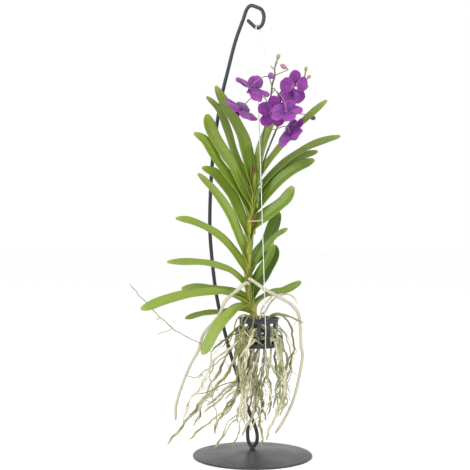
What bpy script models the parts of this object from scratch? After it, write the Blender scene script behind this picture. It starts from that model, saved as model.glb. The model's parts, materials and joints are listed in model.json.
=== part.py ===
"""Vanda orchid in a slatted basket, hung by a steel wire from a bent-rod stand with a domed base.

Metres, +Z up. The origin is on the floor under the middle of the base. +X is the viewer's right and
+Y points away from the viewer, so what stands in front has the smaller Y.
"""

import math
from dataclasses import dataclass

import bmesh
import bpy
from mathutils import Matrix, Vector

UP = Vector((0, 0, 1))
SEAT_GAP = 0.0003

# Stand: a round steel rod on a pressed dome
BASE_RADIUS = 0.1125
BASE_RISE = 0.013
BASE_SHEET = 0.0016
BASE_RIM = 0.003
BASE_LIFT = 0.0008
FELT_RADIUS = 0.1085
FELT_THICKNESS = 0.002
ROD_RADIUS = 0.0035
STAND_TURN = math.radians(16)
BOSS_RADIUS = 0.0055
BOSS_HEIGHT = 0.0085
SCREW_RADIUS = 0.0024
SCREW_HEAD_RADIUS = 0.0050
SCREW_HEAD_HEIGHT = 0.0028

# Hanger: galvanised wire that hooks over the rod and carries the basket
WIRE_RADIUS = 0.0009
TIE_RADIUS = 0.0008
HANG_X = 0.0100
HANG_Z = 0.8093

# Basket: injection-moulded, with upright slats and a barred floor
BASKET_CENTRE = Vector((0.012, 0.004, 0.0))
BASKET_TOP = 0.262
BASKET_HEIGHT = 0.056
BASKET_RADIUS = 0.037
BASKET_TAPER = 0.003
BASKET_WALL = 0.0020
BASKET_BAND = 0.010
BASKET_LIP = 0.0018
CORE_SINK = 0.0007
BASKET_FLOOR = BASKET_TOP - BASKET_HEIGHT
BASKET_SLOTS = 12
SLOT_WIDTH = 0.0120
SLOT_FOOT = 0.0075
FLOOR_PITCH = 0.0115
FLOOR_SLOT = 0.0080
FLOOR_REACH = 0.0270

STEM_RADIUS = 0.0075
STEM_TIP = 0.55
LEAF_THICKNESS = 0.0012
LEAF_BROADER = 1.15
LEAF_CLASP = 1.10
PETAL_THICKNESS = 0.0009


def clear_scene():
    """Removes every object of the scene that Blender starts with."""
    for obj in list(bpy.data.objects):
        bpy.data.objects.remove(obj, do_unlink=True)


def finish_of(name, colour, roughness, metallic=0.0):
    """A Principled material with the part's own colour."""
    made = bpy.data.materials.new(name)
    made.use_nodes = True
    shader = made.node_tree.nodes["Principled BSDF"]
    shader.inputs["Base Color"].default_value = (*colour, 1)
    shader.inputs["Roughness"].default_value = roughness
    shader.inputs["Metallic"].default_value = metallic
    return made


def link(obj, collection, finish):
    """Puts an object in a collection with its one material."""
    collection.objects.link(obj)
    obj.data.materials.clear()
    obj.data.materials.append(finish)
    return obj


def object_from(name, mesh_builder, collection, finish):
    """An object from a bmesh, which is freed."""
    mesh = bpy.data.meshes.new(name)
    mesh_builder.to_mesh(mesh)
    mesh_builder.free()
    return link(bpy.data.objects.new(name, mesh), collection, finish)


def baked(obj):
    """The object made into one plain mesh in world space, with doubled points merged."""
    bpy.context.view_layer.update()
    graph = bpy.context.evaluated_depsgraph_get()
    mesh = bpy.data.meshes.new_from_object(obj.evaluated_get(graph))
    mesh.transform(obj.matrix_world)
    welder = bmesh.new()
    welder.from_mesh(mesh)
    bmesh.ops.remove_doubles(welder, verts=welder.verts, dist=0.00001)
    bmesh.ops.recalc_face_normals(welder, faces=welder.faces)
    welder.to_mesh(mesh)
    welder.free()
    name = obj.name
    finish = obj.data.materials[0]
    collection = obj.users_collection[0]
    bpy.data.objects.remove(obj, do_unlink=True)
    mesh.name = name
    return link(bpy.data.objects.new(name, mesh), collection, finish)


def fused(name, pieces, collection, solver="EXACT"):
    """One object from a list of pieces by a Boolean union, which is applied."""
    body, others = pieces[0], pieces[1:]
    group = bpy.data.collections.new(name + "_union")
    bpy.context.scene.collection.children.link(group)
    for piece in others:
        group.objects.link(piece)
    union = body.modifiers.new("union", "BOOLEAN")
    union.operation = "UNION"
    union.operand_type = "COLLECTION"
    union.collection = group
    union.solver = solver
    made = baked(body)
    made.name = name
    made.data.name = name
    for piece in others:
        bpy.data.objects.remove(piece, do_unlink=True)
    bpy.data.collections.remove(group)
    return made


def smooth_route(points, spacing):
    """Points along a Catmull-Rom curve through the given ones, about one spacing apart."""
    ends = [points[0] * 2 - points[1], *points, points[-1] * 2 - points[-2]]
    route = []
    for before, start, end, after in zip(ends, ends[1:], ends[2:], ends[3:]):
        steps = max(1, round((end - start).length / spacing))
        for step in range(steps):
            t = step / steps
            route.append(
                0.5
                * (
                    2 * start
                    + (end - before) * t
                    + (2 * before - 5 * start + 4 * end - after) * t**2
                    + (3 * start - before - 3 * end + after) * t**3
                )
            )
    return [*route, points[-1]]


def tube(name, route, radius, collection, finish, tip=1.0, sides=8):
    """A round bar along a route, from its full radius to tip times it."""
    curve = bpy.data.curves.new(name, "CURVE")
    curve.dimensions = "3D"
    curve.bevel_depth = radius
    curve.bevel_resolution = (sides - 4) // 2
    curve.use_fill_caps = True
    spline = curve.splines.new("POLY")
    spline.points.add(len(route) - 1)
    for index, (point, place) in enumerate(zip(spline.points, route)):
        point.co = (*place, 1)
        point.radius = 1 + (tip - 1) * (index / (len(route) - 1)) ** 2
    return baked(link(bpy.data.objects.new(name, curve), collection, finish))


def turned(name, profile, steps, centre, collection, finish):
    """A closed profile of (radius, height) points, down its outer side first, turned round Z."""
    shape = bmesh.new()
    corners = [shape.verts.new((radius, 0, height)) for radius, height in profile]
    for corner, following in zip(corners, corners[1:] + corners[:1]):
        shape.edges.new((corner, following))
    obj = object_from(name, shape, collection, finish)
    obj.location = centre
    screw = obj.modifiers.new("turn", "SCREW")
    screw.steps = steps
    screw.render_steps = steps
    screw.use_merge_vertices = True
    screw.merge_threshold = 0.00001
    return baked(obj)


def cylinder(name, radius, low, high, centre, collection, finish, segments=20):
    """An upright solid cylinder between two heights."""
    shape = bmesh.new()
    middle = Matrix.Translation((centre[0], centre[1], (low + high) / 2))
    bmesh.ops.create_cone(
        shape,
        cap_ends=True,
        segments=segments,
        radius1=radius,
        radius2=radius,
        depth=high - low,
        matrix=middle,
    )
    return object_from(name, shape, collection, finish)


def ellipsoid(name, centre, radii, axis, collection, finish, rings=6, segments=8):
    """A closed egg shape whose longest radius lies along the axis."""
    shape = bmesh.new()
    turn = axis.to_track_quat("Z", "Y").to_matrix().to_4x4()
    place = Matrix.Translation(centre) @ turn @ Matrix.Diagonal((*radii, 1))
    bmesh.ops.create_uvsphere(shape, u_segments=segments, v_segments=rings, radius=1, matrix=place)
    return object_from(name, shape, collection, finish)


def sheet(name, rows, thickness, collection, finish):
    """A thin closed blade from rows of points, with both faces split into the same triangles."""
    shape = bmesh.new()
    grid = [[shape.verts.new(point) for point in row] for row in rows]
    for low, high in zip(grid, grid[1:]):
        middle = (len(low) - 1) / 2
        for index in range(len(low) - 1):
            a, b, c, d = low[index], low[index + 1], high[index + 1], high[index]
            halves = ((a, b, c), (a, c, d)) if index < middle else ((a, b, d), (b, c, d))
            for half in halves:
                shape.faces.new(half)
    obj = object_from(name, shape, collection, finish)
    solid = obj.modifiers.new("thickness", "SOLIDIFY")
    solid.thickness = thickness
    solid.offset = 0
    return baked(obj)


# Stand


def stand_place(along, height):
    """A point of the stand's own plane, which is turned a little behind the plant at the left."""
    return Vector((along * math.cos(STAND_TURN), -along * math.sin(STAND_TURN), height))


# The rod's middle line, from the hook's free end, over the top, down the bow and round the foot loop
ROD_ROUTE = (
    (-0.0080, 0.8235),
    (-0.0015, 0.8170),
    (0.0045, 0.8115),
    (0.0115, 0.8090),
    (0.0190, 0.8150),
    (0.0225, 0.8290),
    (0.0185, 0.8420),
    (0.0080, 0.8485),
    (-0.0030, 0.8520),
    (-0.0110, 0.8455),
    (-0.0180, 0.8270),
    (-0.0335, 0.7860),
    (-0.0490, 0.7290),
    (-0.0600, 0.6850),
    (-0.0710, 0.6250),
    (-0.0800, 0.5500),
    (-0.0845, 0.4550),
    (-0.0815, 0.3860),
    (-0.0690, 0.2920),
    (-0.0440, 0.1950),
    (-0.0255, 0.1400),
    (-0.0110, 0.0940),
    (0.0035, 0.0610),
    (0.0090, 0.0420),
    (0.0080, 0.0270),
    (0.0000, 0.0185),
    (-0.0075, 0.0270),
    (-0.0095, 0.0420),
    (-0.0085, 0.0560),
)


def rod_line():
    """The rod's middle line in space."""
    places = [stand_place(*place) for place in ROD_ROUTE]
    hook = smooth_route(places[:12], 0.006)
    bow = smooth_route(places[11:21], 0.036)[1:]
    foot = smooth_route(places[20:], 0.009)[1:]
    return hook + bow + foot


def build_stand(parts, steel, felt, zinc):
    """Domed base, its felt, the bent rod with its foot boss, and the screw that holds them together."""
    crown = BASE_LIFT + BASE_RISE
    dome_radii = [BASE_RADIUS * share for share in (0.97, 0.78, 0.50, 0.22)]

    def dome_height(radius):
        return crown - (BASE_RISE - BASE_RIM) * (radius / BASE_RADIUS) ** 2

    outer = [(radius, dome_height(radius)) for radius in reversed(dome_radii)]
    hole = SCREW_RADIUS + SEAT_GAP
    shoulder = [(BASE_RADIUS, BASE_LIFT + BASE_RIM * 0.6), (BASE_RADIUS, BASE_LIFT)]
    inner_rim = [(BASE_RADIUS - BASE_SHEET, BASE_LIFT)]
    inner = [
        (radius - BASE_SHEET * (radius > 0.9 * BASE_RADIUS), dome_height(radius) - BASE_SHEET)
        for radius in dome_radii
    ]
    profile = [(hole, crown), *outer, *shoulder, *inner_rim, *inner, (hole, crown - BASE_SHEET)]
    turned("stand_base", profile, 36, (0, 0, 0), parts, steel)
    cylinder("base_felt", FELT_RADIUS, 0, FELT_THICKNESS, (0, 0), parts, felt, 36)

    rod = tube("rod_bar", rod_line(), ROD_RADIUS, parts, steel)
    boss = cylinder("boss", BOSS_RADIUS, crown + SEAT_GAP, crown + BOSS_HEIGHT, (0, 0), parts, steel, 16)
    bore = cylinder("boss_bore", SCREW_RADIUS + SEAT_GAP, 0, crown + 0.0048, (0, 0), parts, steel, 12)
    rod = fused("stand_rod", [boss, rod], parts)
    cut = rod.modifiers.new("screw_bore", "BOOLEAN")
    cut.operation = "DIFFERENCE"
    cut.object = bore
    baked(rod)
    bpy.data.objects.remove(bore, do_unlink=True)

    under = crown - BASE_SHEET
    head = cylinder(
        "screw_head",
        SCREW_HEAD_RADIUS,
        under - SEAT_GAP - SCREW_HEAD_HEIGHT,
        under - SEAT_GAP,
        (0, 0),
        parts,
        zinc,
        6,
    )
    low = under - SEAT_GAP - 0.001
    shank = cylinder("shank", SCREW_RADIUS, low, crown + 0.0045, (0, 0), parts, zinc, 12)
    fused("base_screw", [head, shank], parts)


# Hanger


def wire_run():
    """The straight part of the wire's middle line, from beside the rod down the front of the basket."""
    seat = ROD_RADIUS + SEAT_GAP + WIRE_RADIUS
    saddle = stand_place(HANG_X, HANG_Z)
    foot_x = BASKET_CENTRE.x + FLOOR_PITCH
    front_y = BASKET_CENTRE.y - BASKET_RADIUS - BASKET_LIP - SEAT_GAP * 1.8 - WIRE_RADIUS
    run = [
        saddle + Vector((-0.0025, -seat * 1.05, -0.0120)),
        Vector((foot_x - 0.0010, front_y, BASKET_TOP + 0.020)),
        Vector((foot_x, front_y, BASKET_TOP - 0.020)),
        Vector((foot_x, front_y + 0.0008, BASKET_FLOOR + 0.004)),
    ]
    return smooth_route(run, 0.045)


def wire_line():
    """The wire's middle line: loose tail, saddle over the rod, run, and hook under the basket."""
    seat = ROD_RADIUS + SEAT_GAP + WIRE_RADIUS
    saddle = stand_place(HANG_X, HANG_Z)
    tail = [
        saddle + Vector((0.0155, 0.0035, -0.0480)),
        saddle + Vector((0.0095, 0.0052, -0.0200)),
        saddle + Vector((0.0052, seat * 1.02, -0.0010)),
    ]
    over = [
        saddle + Vector((0.0036, seat * 0.78, seat * 0.75)),
        saddle + Vector((0.0010, 0, seat * 1.06)),
        saddle + Vector((-0.0020, -seat * 0.78, seat * 0.75)),
        saddle + Vector((-0.0030, -seat * 1.02, -0.0010)),
    ]
    run = wire_run()
    foot = run[-1] - UP * 0.004
    under = BASKET_FLOOR - SEAT_GAP - WIRE_RADIUS
    hook = [
        Vector((foot.x, foot.y + 0.0012, under + 0.0005)),
        Vector((foot.x, foot.y + 0.0042, under - 0.0002)),
        Vector((foot.x, foot.y + 0.0097, under - 0.0002)),
        Vector((foot.x, foot.y + 0.0158, under - 0.0001)),
        Vector((foot.x, foot.y + 0.0178, BASKET_FLOOR + 0.0020)),
        Vector((foot.x, foot.y + 0.0182, BASKET_FLOOR + 0.0080)),
    ]
    return (
        smooth_route(tail, 0.010)[:-1]
        + smooth_route([tail[-1], *over], 0.0018)
        + run
        + smooth_route([run[-1], *hook], 0.003)[1:]
    )


def build_hanger(parts, zinc, straw):
    """The hanger wire, the twist of spare wire halfway down it, and the tie round the stem."""
    tube("hanger_wire", wire_line(), WIRE_RADIUS, parts, zinc, sides=6)
    run = wire_run()

    def on_wire(height):
        for high, low in zip(run, run[1:]):
            if height >= low.z:
                break
        return high.lerp(low, (high.z - height) / (high.z - low.z))

    coil_radius = WIRE_RADIUS * 1.9 + SEAT_GAP
    turns, rise, steps = 3, 0.0026, 7
    centre = on_wire(0.523)
    coil = []
    for step in range(turns * steps + 1):
        angle = 2 * math.pi * step / steps
        height = centre.z - rise * step / steps
        coil.append(on_wire(height) + coil_radius * Vector((math.cos(angle), math.sin(angle), 0)))
    start, end = coil[0], coil[-1]
    tails = [start + Vector((0.0062, 0.0006, 0.0120)), start + Vector((0.0022, 0.0016, 0.0050))]
    low_tails = [end + Vector((-0.0006, -0.0022, -0.0030)), end + Vector((-0.0062, -0.0030, -0.0100))]
    tube("wire_twist", [*tails, *coil, *low_tails], WIRE_RADIUS * 0.9, parts, zinc, sides=6)

    middle = on_wire(0.4450)
    ring_radius = WIRE_RADIUS + TIE_RADIUS + SEAT_GAP
    ring = []
    for step in range(9):
        angle = math.radians(130 - 37 * step)
        out = Vector((math.cos(angle), math.sin(angle), 0)) * ring_radius
        ring.append(middle + out + UP * 0.0003 * step)
    lead = [middle + Vector((-0.0250, 0.0060, -0.0012)), middle + Vector((-0.0120, 0.0040, -0.0008))]
    tube("stem_tie", [*lead, *ring], TIE_RADIUS, parts, straw, sides=4)


# Basket


def build_basket(parts, cutters, plastic):
    """The slatted basket: a turned cup with upright wall slots and parallel floor slots cut out of it."""
    low_radius = BASKET_RADIUS - BASKET_TAPER
    profile = [
        (BASKET_RADIUS - BASKET_WALL, BASKET_TOP),
        (BASKET_RADIUS + BASKET_LIP, BASKET_TOP),
        (BASKET_RADIUS + BASKET_LIP, BASKET_TOP - 0.0025),
        (BASKET_RADIUS, BASKET_TOP - 0.0035),
        (low_radius, BASKET_FLOOR),
        (0.0020, BASKET_FLOOR),
        (0.0020, BASKET_FLOOR + BASKET_WALL),
        (low_radius - BASKET_WALL, BASKET_FLOOR + BASKET_WALL),
    ]
    basket = turned("basket", profile, 24, BASKET_CENTRE, parts, plastic)
    shape = bmesh.new()
    slot_low, slot_high = BASKET_FLOOR + SLOT_FOOT, BASKET_TOP - BASKET_BAND
    for index in range(BASKET_SLOTS):
        turn = Matrix.Rotation(2 * math.pi * (index + 0.5) / BASKET_SLOTS, 4, "Z")
        size = Matrix.Diagonal((0.014, SLOT_WIDTH, slot_high - slot_low, 1))
        place = Matrix.Translation((low_radius + 0.001, 0, (slot_low + slot_high) / 2))
        where = Matrix.Translation(BASKET_CENTRE) @ turn @ place @ size
        bmesh.ops.create_cube(shape, size=1, matrix=where)
    for index in range(-2, 3):
        across = index * FLOOR_PITCH
        size = Matrix.Diagonal((FLOOR_SLOT, 2 * math.sqrt(FLOOR_REACH**2 - across**2), 0.012, 1))
        place = Matrix.Translation(BASKET_CENTRE + Vector((across, 0, BASKET_FLOOR)))
        bmesh.ops.create_cube(shape, size=1, matrix=place @ size)
    windows = object_from("basket_windows", shape, cutters, plastic)
    cut = basket.modifiers.new("windows", "BOOLEAN")
    cut.operation = "DIFFERENCE"
    cut.object = windows
    baked(basket)
    bpy.data.objects.remove(windows, do_unlink=True)


# Leafy stem

# The stem's middle line, from inside the basket to the growing tip
STEM_ROUTE = (
    Vector((0.0080, 0.0060, 0.2380)),
    Vector((0.0000, 0.0080, 0.2780)),
    Vector((-0.0060, 0.0080, 0.3140)),
    Vector((-0.0085, 0.0080, 0.3560)),
    Vector((-0.0065, 0.0080, 0.4090)),
    Vector((-0.0015, 0.0080, 0.4540)),
    Vector((0.0030, 0.0080, 0.5000)),
    Vector((0.0055, 0.0080, 0.5360)),
)


@dataclass(frozen=True)
class Leaf:
    """One strap leaf: its keel as (along X, height) from the stem, its tip's depth, width and turn."""

    side: int
    path: tuple
    far: float
    width: float
    turn: float


# Left rank from the top down, then the right rank. The turn is the roll towards the viewer in degrees
LEAVES = (
    Leaf(
        -1,
        ((0.003, 0.506), (-0.0144, 0.586), (-0.0306, 0.626), (-0.0552, 0.667), (-0.0716, 0.698)),
        -0.006, 0.0235, 55,
    ),
    Leaf(
        -1,
        ((0.000, 0.486), (-0.0352, 0.571), (-0.0491, 0.616), (-0.0654, 0.655), (-0.0885, 0.6795)),
        0.006, 0.0200, 42,
    ),
    Leaf(
        -1,
        ((-0.001, 0.470), (-0.0352, 0.5405), (-0.0552, 0.571), (-0.0758, 0.606), (-0.0890, 0.6417)),
        -0.030, 0.0260, 56,
    ),
    Leaf(
        -1,
        ((-0.002, 0.450), (-0.0257, 0.497), (-0.0508, 0.533), (-0.0696, 0.5585), (-0.0880, 0.590), (-0.1096, 0.604)),
        -0.046, 0.0215, 50,
    ),
    Leaf(
        -1,
        ((-0.005, 0.414), (-0.0306, 0.474), (-0.0484, 0.507), (-0.0710, 0.533), (-0.0958, 0.5432)),
        -0.004, 0.0215, 50,
    ),
    Leaf(
        -1,
        ((-0.007, 0.364), (-0.0306, 0.426), (-0.0508, 0.469), (-0.0762, 0.503), (-0.1022, 0.5292)),
        -0.050, 0.0220, 52,
    ),
    Leaf(
        -1,
        ((-0.0075, 0.328), (-0.0153, 0.350), (-0.0408, 0.393), (-0.0710, 0.4215), (-0.1115, 0.4415), (-0.1419, 0.447)),
        -0.052, 0.0210, 48,
    ),
    Leaf(
        -1,
        ((-0.006, 0.304), (-0.0150, 0.320), (-0.0408, 0.348), (-0.0710, 0.361), (-0.1040, 0.3665), (-0.1567, 0.3668)),
        -0.060, 0.0200, 40,
    ),
    Leaf(
        -1,
        ((-0.005, 0.292), (-0.0300, 0.307), (-0.0710, 0.3150), (-0.1070, 0.3185), (-0.1338, 0.3149)),
        -0.004, 0.0200, 36,
    ),
    Leaf(
        -1,
        ((-0.001, 0.276), (-0.0230, 0.294), (-0.0609, 0.3085), (-0.1115, 0.3086), (-0.1622, 0.2973), (-0.2039, 0.2807)),
        -0.070, 0.0215, 44,
    ),
    Leaf(
        -1,
        ((0.001, 0.272), (-0.0230, 0.2750), (-0.0508, 0.2725), (-0.0913, 0.2700), (-0.1263, 0.2605)),
        -0.018, 0.0150, 30,
    ),
    Leaf(
        -1,
        ((0.002, 0.276), (-0.0180, 0.2800), (-0.0386, 0.2730), (-0.0650, 0.2480), (-0.0915, 0.1980)),
        -0.058, 0.0220, 46,
    ),
    Leaf(-1, ((0.004, 0.520), (0.001, 0.555), (-0.0060, 0.587)), 0.002, 0.0130, 40),
    Leaf(1, ((0.005, 0.516), (0.0160, 0.576), (0.0400, 0.639)), 0.016, 0.0180, 50),
    Leaf(
        1,
        ((0.004, 0.503), (0.0178, 0.531), (0.0473, 0.575), (0.0677, 0.5976), (0.0883, 0.622), (0.1383, 0.6662)),
        -0.040, 0.0200, 44,
    ),
    Leaf(
        1,
        ((0.003, 0.488), (0.0302, 0.522), (0.0656, 0.558), (0.1036, 0.583), (0.1365, 0.597), (0.1701, 0.6067)),
        0.030, 0.0185, 34,
    ),
    Leaf(
        1, ((0.001, 0.468), (0.0276, 0.510), (0.0605, 0.543), (0.0909, 0.5655), (0.1272, 0.578)),
        0.036, 0.0180, 36,
    ),
    Leaf(
        1,
        ((-0.001, 0.452), (0.0149, 0.474), (0.0329, 0.500), (0.0556, 0.525), (0.0858, 0.545), (0.1176, 0.5576)),
        -0.006, 0.0215, 48,
    ),
    Leaf(
        1, ((-0.003, 0.432), (0.0225, 0.452), (0.0404, 0.465), (0.0640, 0.4846), (0.0796, 0.507)),
        -0.012, 0.0235, 54,
    ),
    Leaf(
        1, ((-0.006, 0.362), (0.0150, 0.384), (0.0290, 0.403), (0.0420, 0.435), (0.0529, 0.4642)),
        0.034, 0.0250, 55,
    ),
    Leaf(
        1, ((-0.007, 0.346), (0.0100, 0.373), (0.0276, 0.396), (0.0454, 0.416), (0.0669, 0.429)),
        -0.004, 0.0170, 44,
    ),
    Leaf(
        1, ((-0.0065, 0.318), (0.0070, 0.336), (0.0200, 0.356), (0.0330, 0.380), (0.0400, 0.402)),
        -0.010, 0.0200, 52,
    ),
    Leaf(
        1, ((-0.004, 0.292), (0.0100, 0.3175), (0.0272, 0.348), (0.0404, 0.376), (0.0467, 0.3984)),
        0.022, 0.0235, 55,
    ),
    Leaf(
        1,
        ((0.000, 0.278), (0.0149, 0.2922), (0.0404, 0.3073), (0.0650, 0.3124), (0.0947, 0.3275)),
        0.026, 0.0180, 34,
    ),
)


def stem_depth(height):
    """How far back the stem's middle is at a height."""
    for low, high in zip(STEM_ROUTE, STEM_ROUTE[1:]):
        if height <= high.z:
            break
    return low.lerp(high, (height - low.z) / (high.z - low.z)).y


def blade_share(s):
    """Half-width of a strap leaf as a share of its widest, with a rounded tip."""
    clasp = LEAF_CLASP + (1 - LEAF_CLASP) * min(1, s / 0.35)
    return clasp * math.sqrt(max(0.0, 1 - max(0.0, (s - 0.72) / 0.29) ** 2.4))


def leaf_rows(leaf, count=8):
    """Rows of three points along a leaf, edge, keel, edge: folded at the base, open further out."""
    start = stem_depth(leaf.path[0][1])
    reach = abs(leaf.path[-1][0] - leaf.path[0][0])
    keel = []
    for along, height in leaf.path:
        share = abs(along - leaf.path[0][0]) / reach
        keel.append(Vector((along, start + (leaf.far - start) * share, height)))
    fine = smooth_route(keel, 0.004)
    rows = []
    for index in range(count + 1):
        s = index / count
        at = s * (len(fine) - 1)
        low = min(int(at), len(fine) - 2)
        place = fine[low].lerp(fine[low + 1], at - low)
        along = (fine[min(low + 3, len(fine) - 1)] - fine[max(low - 2, 0)]).normalized()
        level = Vector((along.y * leaf.side, -1, 0)).normalized()
        upper = along.cross(level).normalized() * -leaf.side
        turn = math.radians(leaf.turn) * (0.35 + 0.65 * min(1, s / 0.35))
        across = level * math.cos(turn) - upper * math.sin(turn)
        facing = upper * math.cos(turn) + level * math.sin(turn)
        fold = math.radians(58 - 42 * min(1, s / 0.45))
        half = leaf.width * LEAF_BROADER / 2 * blade_share(s)
        lift = facing * half * math.sin(fold)
        side = across * half * math.cos(fold)
        rows.append([place - side + lift, place, place + side + lift])
    return rows


def build_leafy_stem(parts, green):
    """The stem and its two ranks of leaves, grown as one."""
    line = smooth_route(list(STEM_ROUTE), 0.030)
    stem = tube("stem", line, STEM_RADIUS, parts, green, tip=STEM_TIP, sides=8)
    blades = [
        sheet(
            f"leaf_{number}", leaf_rows(leaf), LEAF_THICKNESS, parts,
            green) for number, leaf in enumerate(LEAVES,
        )
    ]
    fused("leafy_stem", [stem, *blades], parts)


# Flowers

SPIKE_RADIUS = 0.0019
STALK_RADIUS = 0.0010

# Middle lines of the two flower stalks, from beside the stem to the last bud
SPIKES = (
    (
        Vector((0.0090, -0.0084, 0.4699)),
        Vector((0.0147, -0.0112, 0.5393)),
        Vector((0.0197, -0.0110, 0.6039)),
        Vector((0.0283, -0.0220, 0.6374)),
        Vector((0.0324, -0.0310, 0.6648)),
        Vector((0.0343, -0.0330, 0.6823)),
        Vector((0.0365, -0.0345, 0.6987)),
        Vector((0.0410, -0.0360, 0.7132)),
        Vector((0.0403, -0.0370, 0.7248)),
        Vector((0.0425, -0.0375, 0.7345)),
        Vector((0.0468, -0.0380, 0.7462)),
    ),
    (
        Vector((0.0020, 0.0151, 0.4790)),
        Vector((0.0060, 0.0225, 0.4980)),
        Vector((0.0150, 0.0280, 0.5320)),
        Vector((0.0290, 0.0300, 0.5780)),
        Vector((0.0560, 0.0220, 0.6400)),
        Vector((0.0765, 0.0060, 0.6660)),
        Vector((0.0840, 0.0020, 0.6780)),
        Vector((0.0925, -0.0010, 0.6870)),
        Vector((0.0968, -0.0040, 0.7095)),
        Vector((0.1008, -0.0060, 0.7290)),
    ),
)


@dataclass(frozen=True)
class Bloom:
    """One open flower: its heart, the ways it faces and its top sepal points, and its stalk's line."""

    name: str
    spike: int
    heart: Vector
    facing: Vector
    top: Vector
    spread: float
    bend: float
    spur: float
    stalk: tuple


BLOOMS = (
    Bloom(
        "bloom_top_left",
        0,
        Vector((-0.0014, -0.0635, 0.6880)),
        Vector((-0.41, 0.45, -0.79)),
        Vector((0.15, 0.92, 0.25)),
        0.066,
        6,
        0.012,
        (
            Vector((0.0355, -0.0340, 0.6939)),
            Vector((0.0290, -0.0355, 0.7110)),
            Vector((0.0165, -0.0480, 0.7080)),
        ),
    ),
    Bloom(
        "bloom_low_left",
        0,
        Vector((-0.0215, -0.0580, 0.6490)),
        Vector((-0.56, 0.40, -0.72)),
        Vector((0.10, 0.97, 0.20)),
        0.068,
        4,
        0.022,
        (
            Vector((0.0308, -0.0300, 0.6561)),
            Vector((0.0200, -0.0370, 0.6740)),
            Vector((0.0000, -0.0520, 0.6710)),
        ),
    ),
    Bloom(
        "bloom_middle",
        0,
        Vector((0.0375, -0.0450, 0.6450)),
        Vector((0.30, -0.90, -0.30)),
        Vector((0.06, -0.30, 0.90)),
        0.056,
        10,
        0.012,
        (Vector((0.0324, -0.0310, 0.6648)), Vector((0.0345, -0.0330, 0.6630))),
    ),
    Bloom(
        "bloom_behind",
        0,
        Vector((0.0600, -0.0740, 0.6420)),
        Vector((0.20, 0.72, -0.66)),
        Vector((0.40, 0.65, 0.70)),
        0.056,
        18,
        0.010,
        (
            Vector((0.0340, -0.0330, 0.6793)),
            Vector((0.0400, -0.0560, 0.6830)),
            Vector((0.0520, -0.0800, 0.6680)),
        ),
    ),
    Bloom(
        "bloom_side",
        0,
        Vector((0.0510, 0.0040, 0.6819)),
        Vector((0.78, 0.16, -0.60)),
        Vector((0.60, 0.05, 0.78)),
        0.050,
        14,
        0.010,
        (
            Vector((0.0340, -0.0330, 0.6852)),
            Vector((0.0400, -0.0180, 0.6930)),
            Vector((0.0430, -0.0040, 0.6910)),
        ),
    ),
    Bloom(
        "bloom_top_right",
        1,
        Vector((0.0765, -0.0380, 0.6905)),
        Vector((0.50, -0.80, -0.30)),
        Vector((0.05, -0.30, 0.95)),
        0.062,
        10,
        0.010,
        (
            Vector((0.0868, 0.0012, 0.6812)),
            Vector((0.0862, -0.0100, 0.6880)),
            Vector((0.0815, -0.0250, 0.6950)),
        ),
    ),
    Bloom(
        "bloom_low_right",
        0,
        Vector((0.0685, -0.0560, 0.6066)),
        Vector((0.66, 0.48, -0.56)),
        Vector((0.55, -0.30, 0.70)),
        0.064,
        10,
        0.012,
        (
            Vector((0.0247, -0.0172, 0.6251)),
            Vector((0.0370, -0.0300, 0.6140)),
            Vector((0.0560, -0.0580, 0.6170)),
        ),
    ),
)


@dataclass(frozen=True)
class Bud:
    """One closed bud: its centre, the way its tip points, its two radii and its stalk's line."""

    name: str
    spike: int
    centre: Vector
    axis: Vector
    side: float
    long: float
    stalk: tuple


# Coloured buds are pieces of their own, green ones are grown with their stalk
COLOURED_BUDS = (
    Bud(
        "bud_violet",
        0,
        Vector((0.0335, -0.0470, 0.7119)),
        Vector((-0.50, -0.60, 0.62)),
        0.0060,
        0.0066,
        (Vector((0.0386, -0.0350, 0.7055)),),
    ),
    Bud(
        "bud_rose",
        0,
        Vector((0.0568, -0.0400, 0.7300)),
        Vector((-0.70, -0.20, 0.42)),
        0.0044,
        0.0072,
        (
            Vector((0.0410, -0.0360, 0.7142)), Vector((0.0503, -0.0370, 0.7179)),
            Vector((0.0620, -0.0380, 0.7227)),
        ),
    ),
    Bud(
        "bud_pale",
        1,
        Vector((0.1010, -0.0130, 0.6955)),
        Vector((0.60, -0.35, 0.72)),
        0.0036,
        0.0055,
        (Vector((0.0915, -0.0007, 0.6858)), Vector((0.0950, -0.0060, 0.6870))),
    ),
    Bud(
        "bud_dark",
        1,
        Vector((0.1142, 0.0040, 0.6400)),
        Vector((0.85, -0.10, -0.30)),
        0.0046,
        0.0062,
        (
            Vector((0.0765, 0.0060, 0.6660)), Vector((0.0868, 0.0070, 0.6500)),
            Vector((0.1010, 0.0045, 0.6462)),
        ),
    ),
)

GREEN_BUDS = (
    Bud("tip_one", 0, Vector((0.0474, -0.0380, 0.7486)), Vector((0.3, 0, 1)), 0.0040, 0.0050, ()),
    Bud("node_one", 0, Vector((0.0438, -0.0395, 0.7371)), Vector((0.3, -0.5, 1)), 0.0026, 0.0034, ()),
    Bud("bract_one", 0, Vector((0.0358, -0.0370, 0.7287)), Vector((-0.8, 0, 0.9)), 0.0013, 0.0050, ()),
    Bud("joint_one", 0, Vector((0.0250, -0.0175, 0.6260)), Vector((0.2, 0, 1)), 0.0028, 0.0034, ()),
    Bud("tip_two", 1, Vector((0.1010, -0.0062, 0.7310)), Vector((0.2, 0, 1)), 0.0034, 0.0050, ()),
    Bud(
        "side_two",
        1,
        Vector((0.1068, -0.0060, 0.7160)),
        Vector((0.8, 0, 0.7)),
        0.0034,
        0.0042,
        (
            Vector((0.0970, -0.0042, 0.7085)), Vector((0.1020, -0.0050, 0.7110)),
            Vector((0.1050, -0.0055, 0.7145)),
        ),
    ),
)

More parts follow.
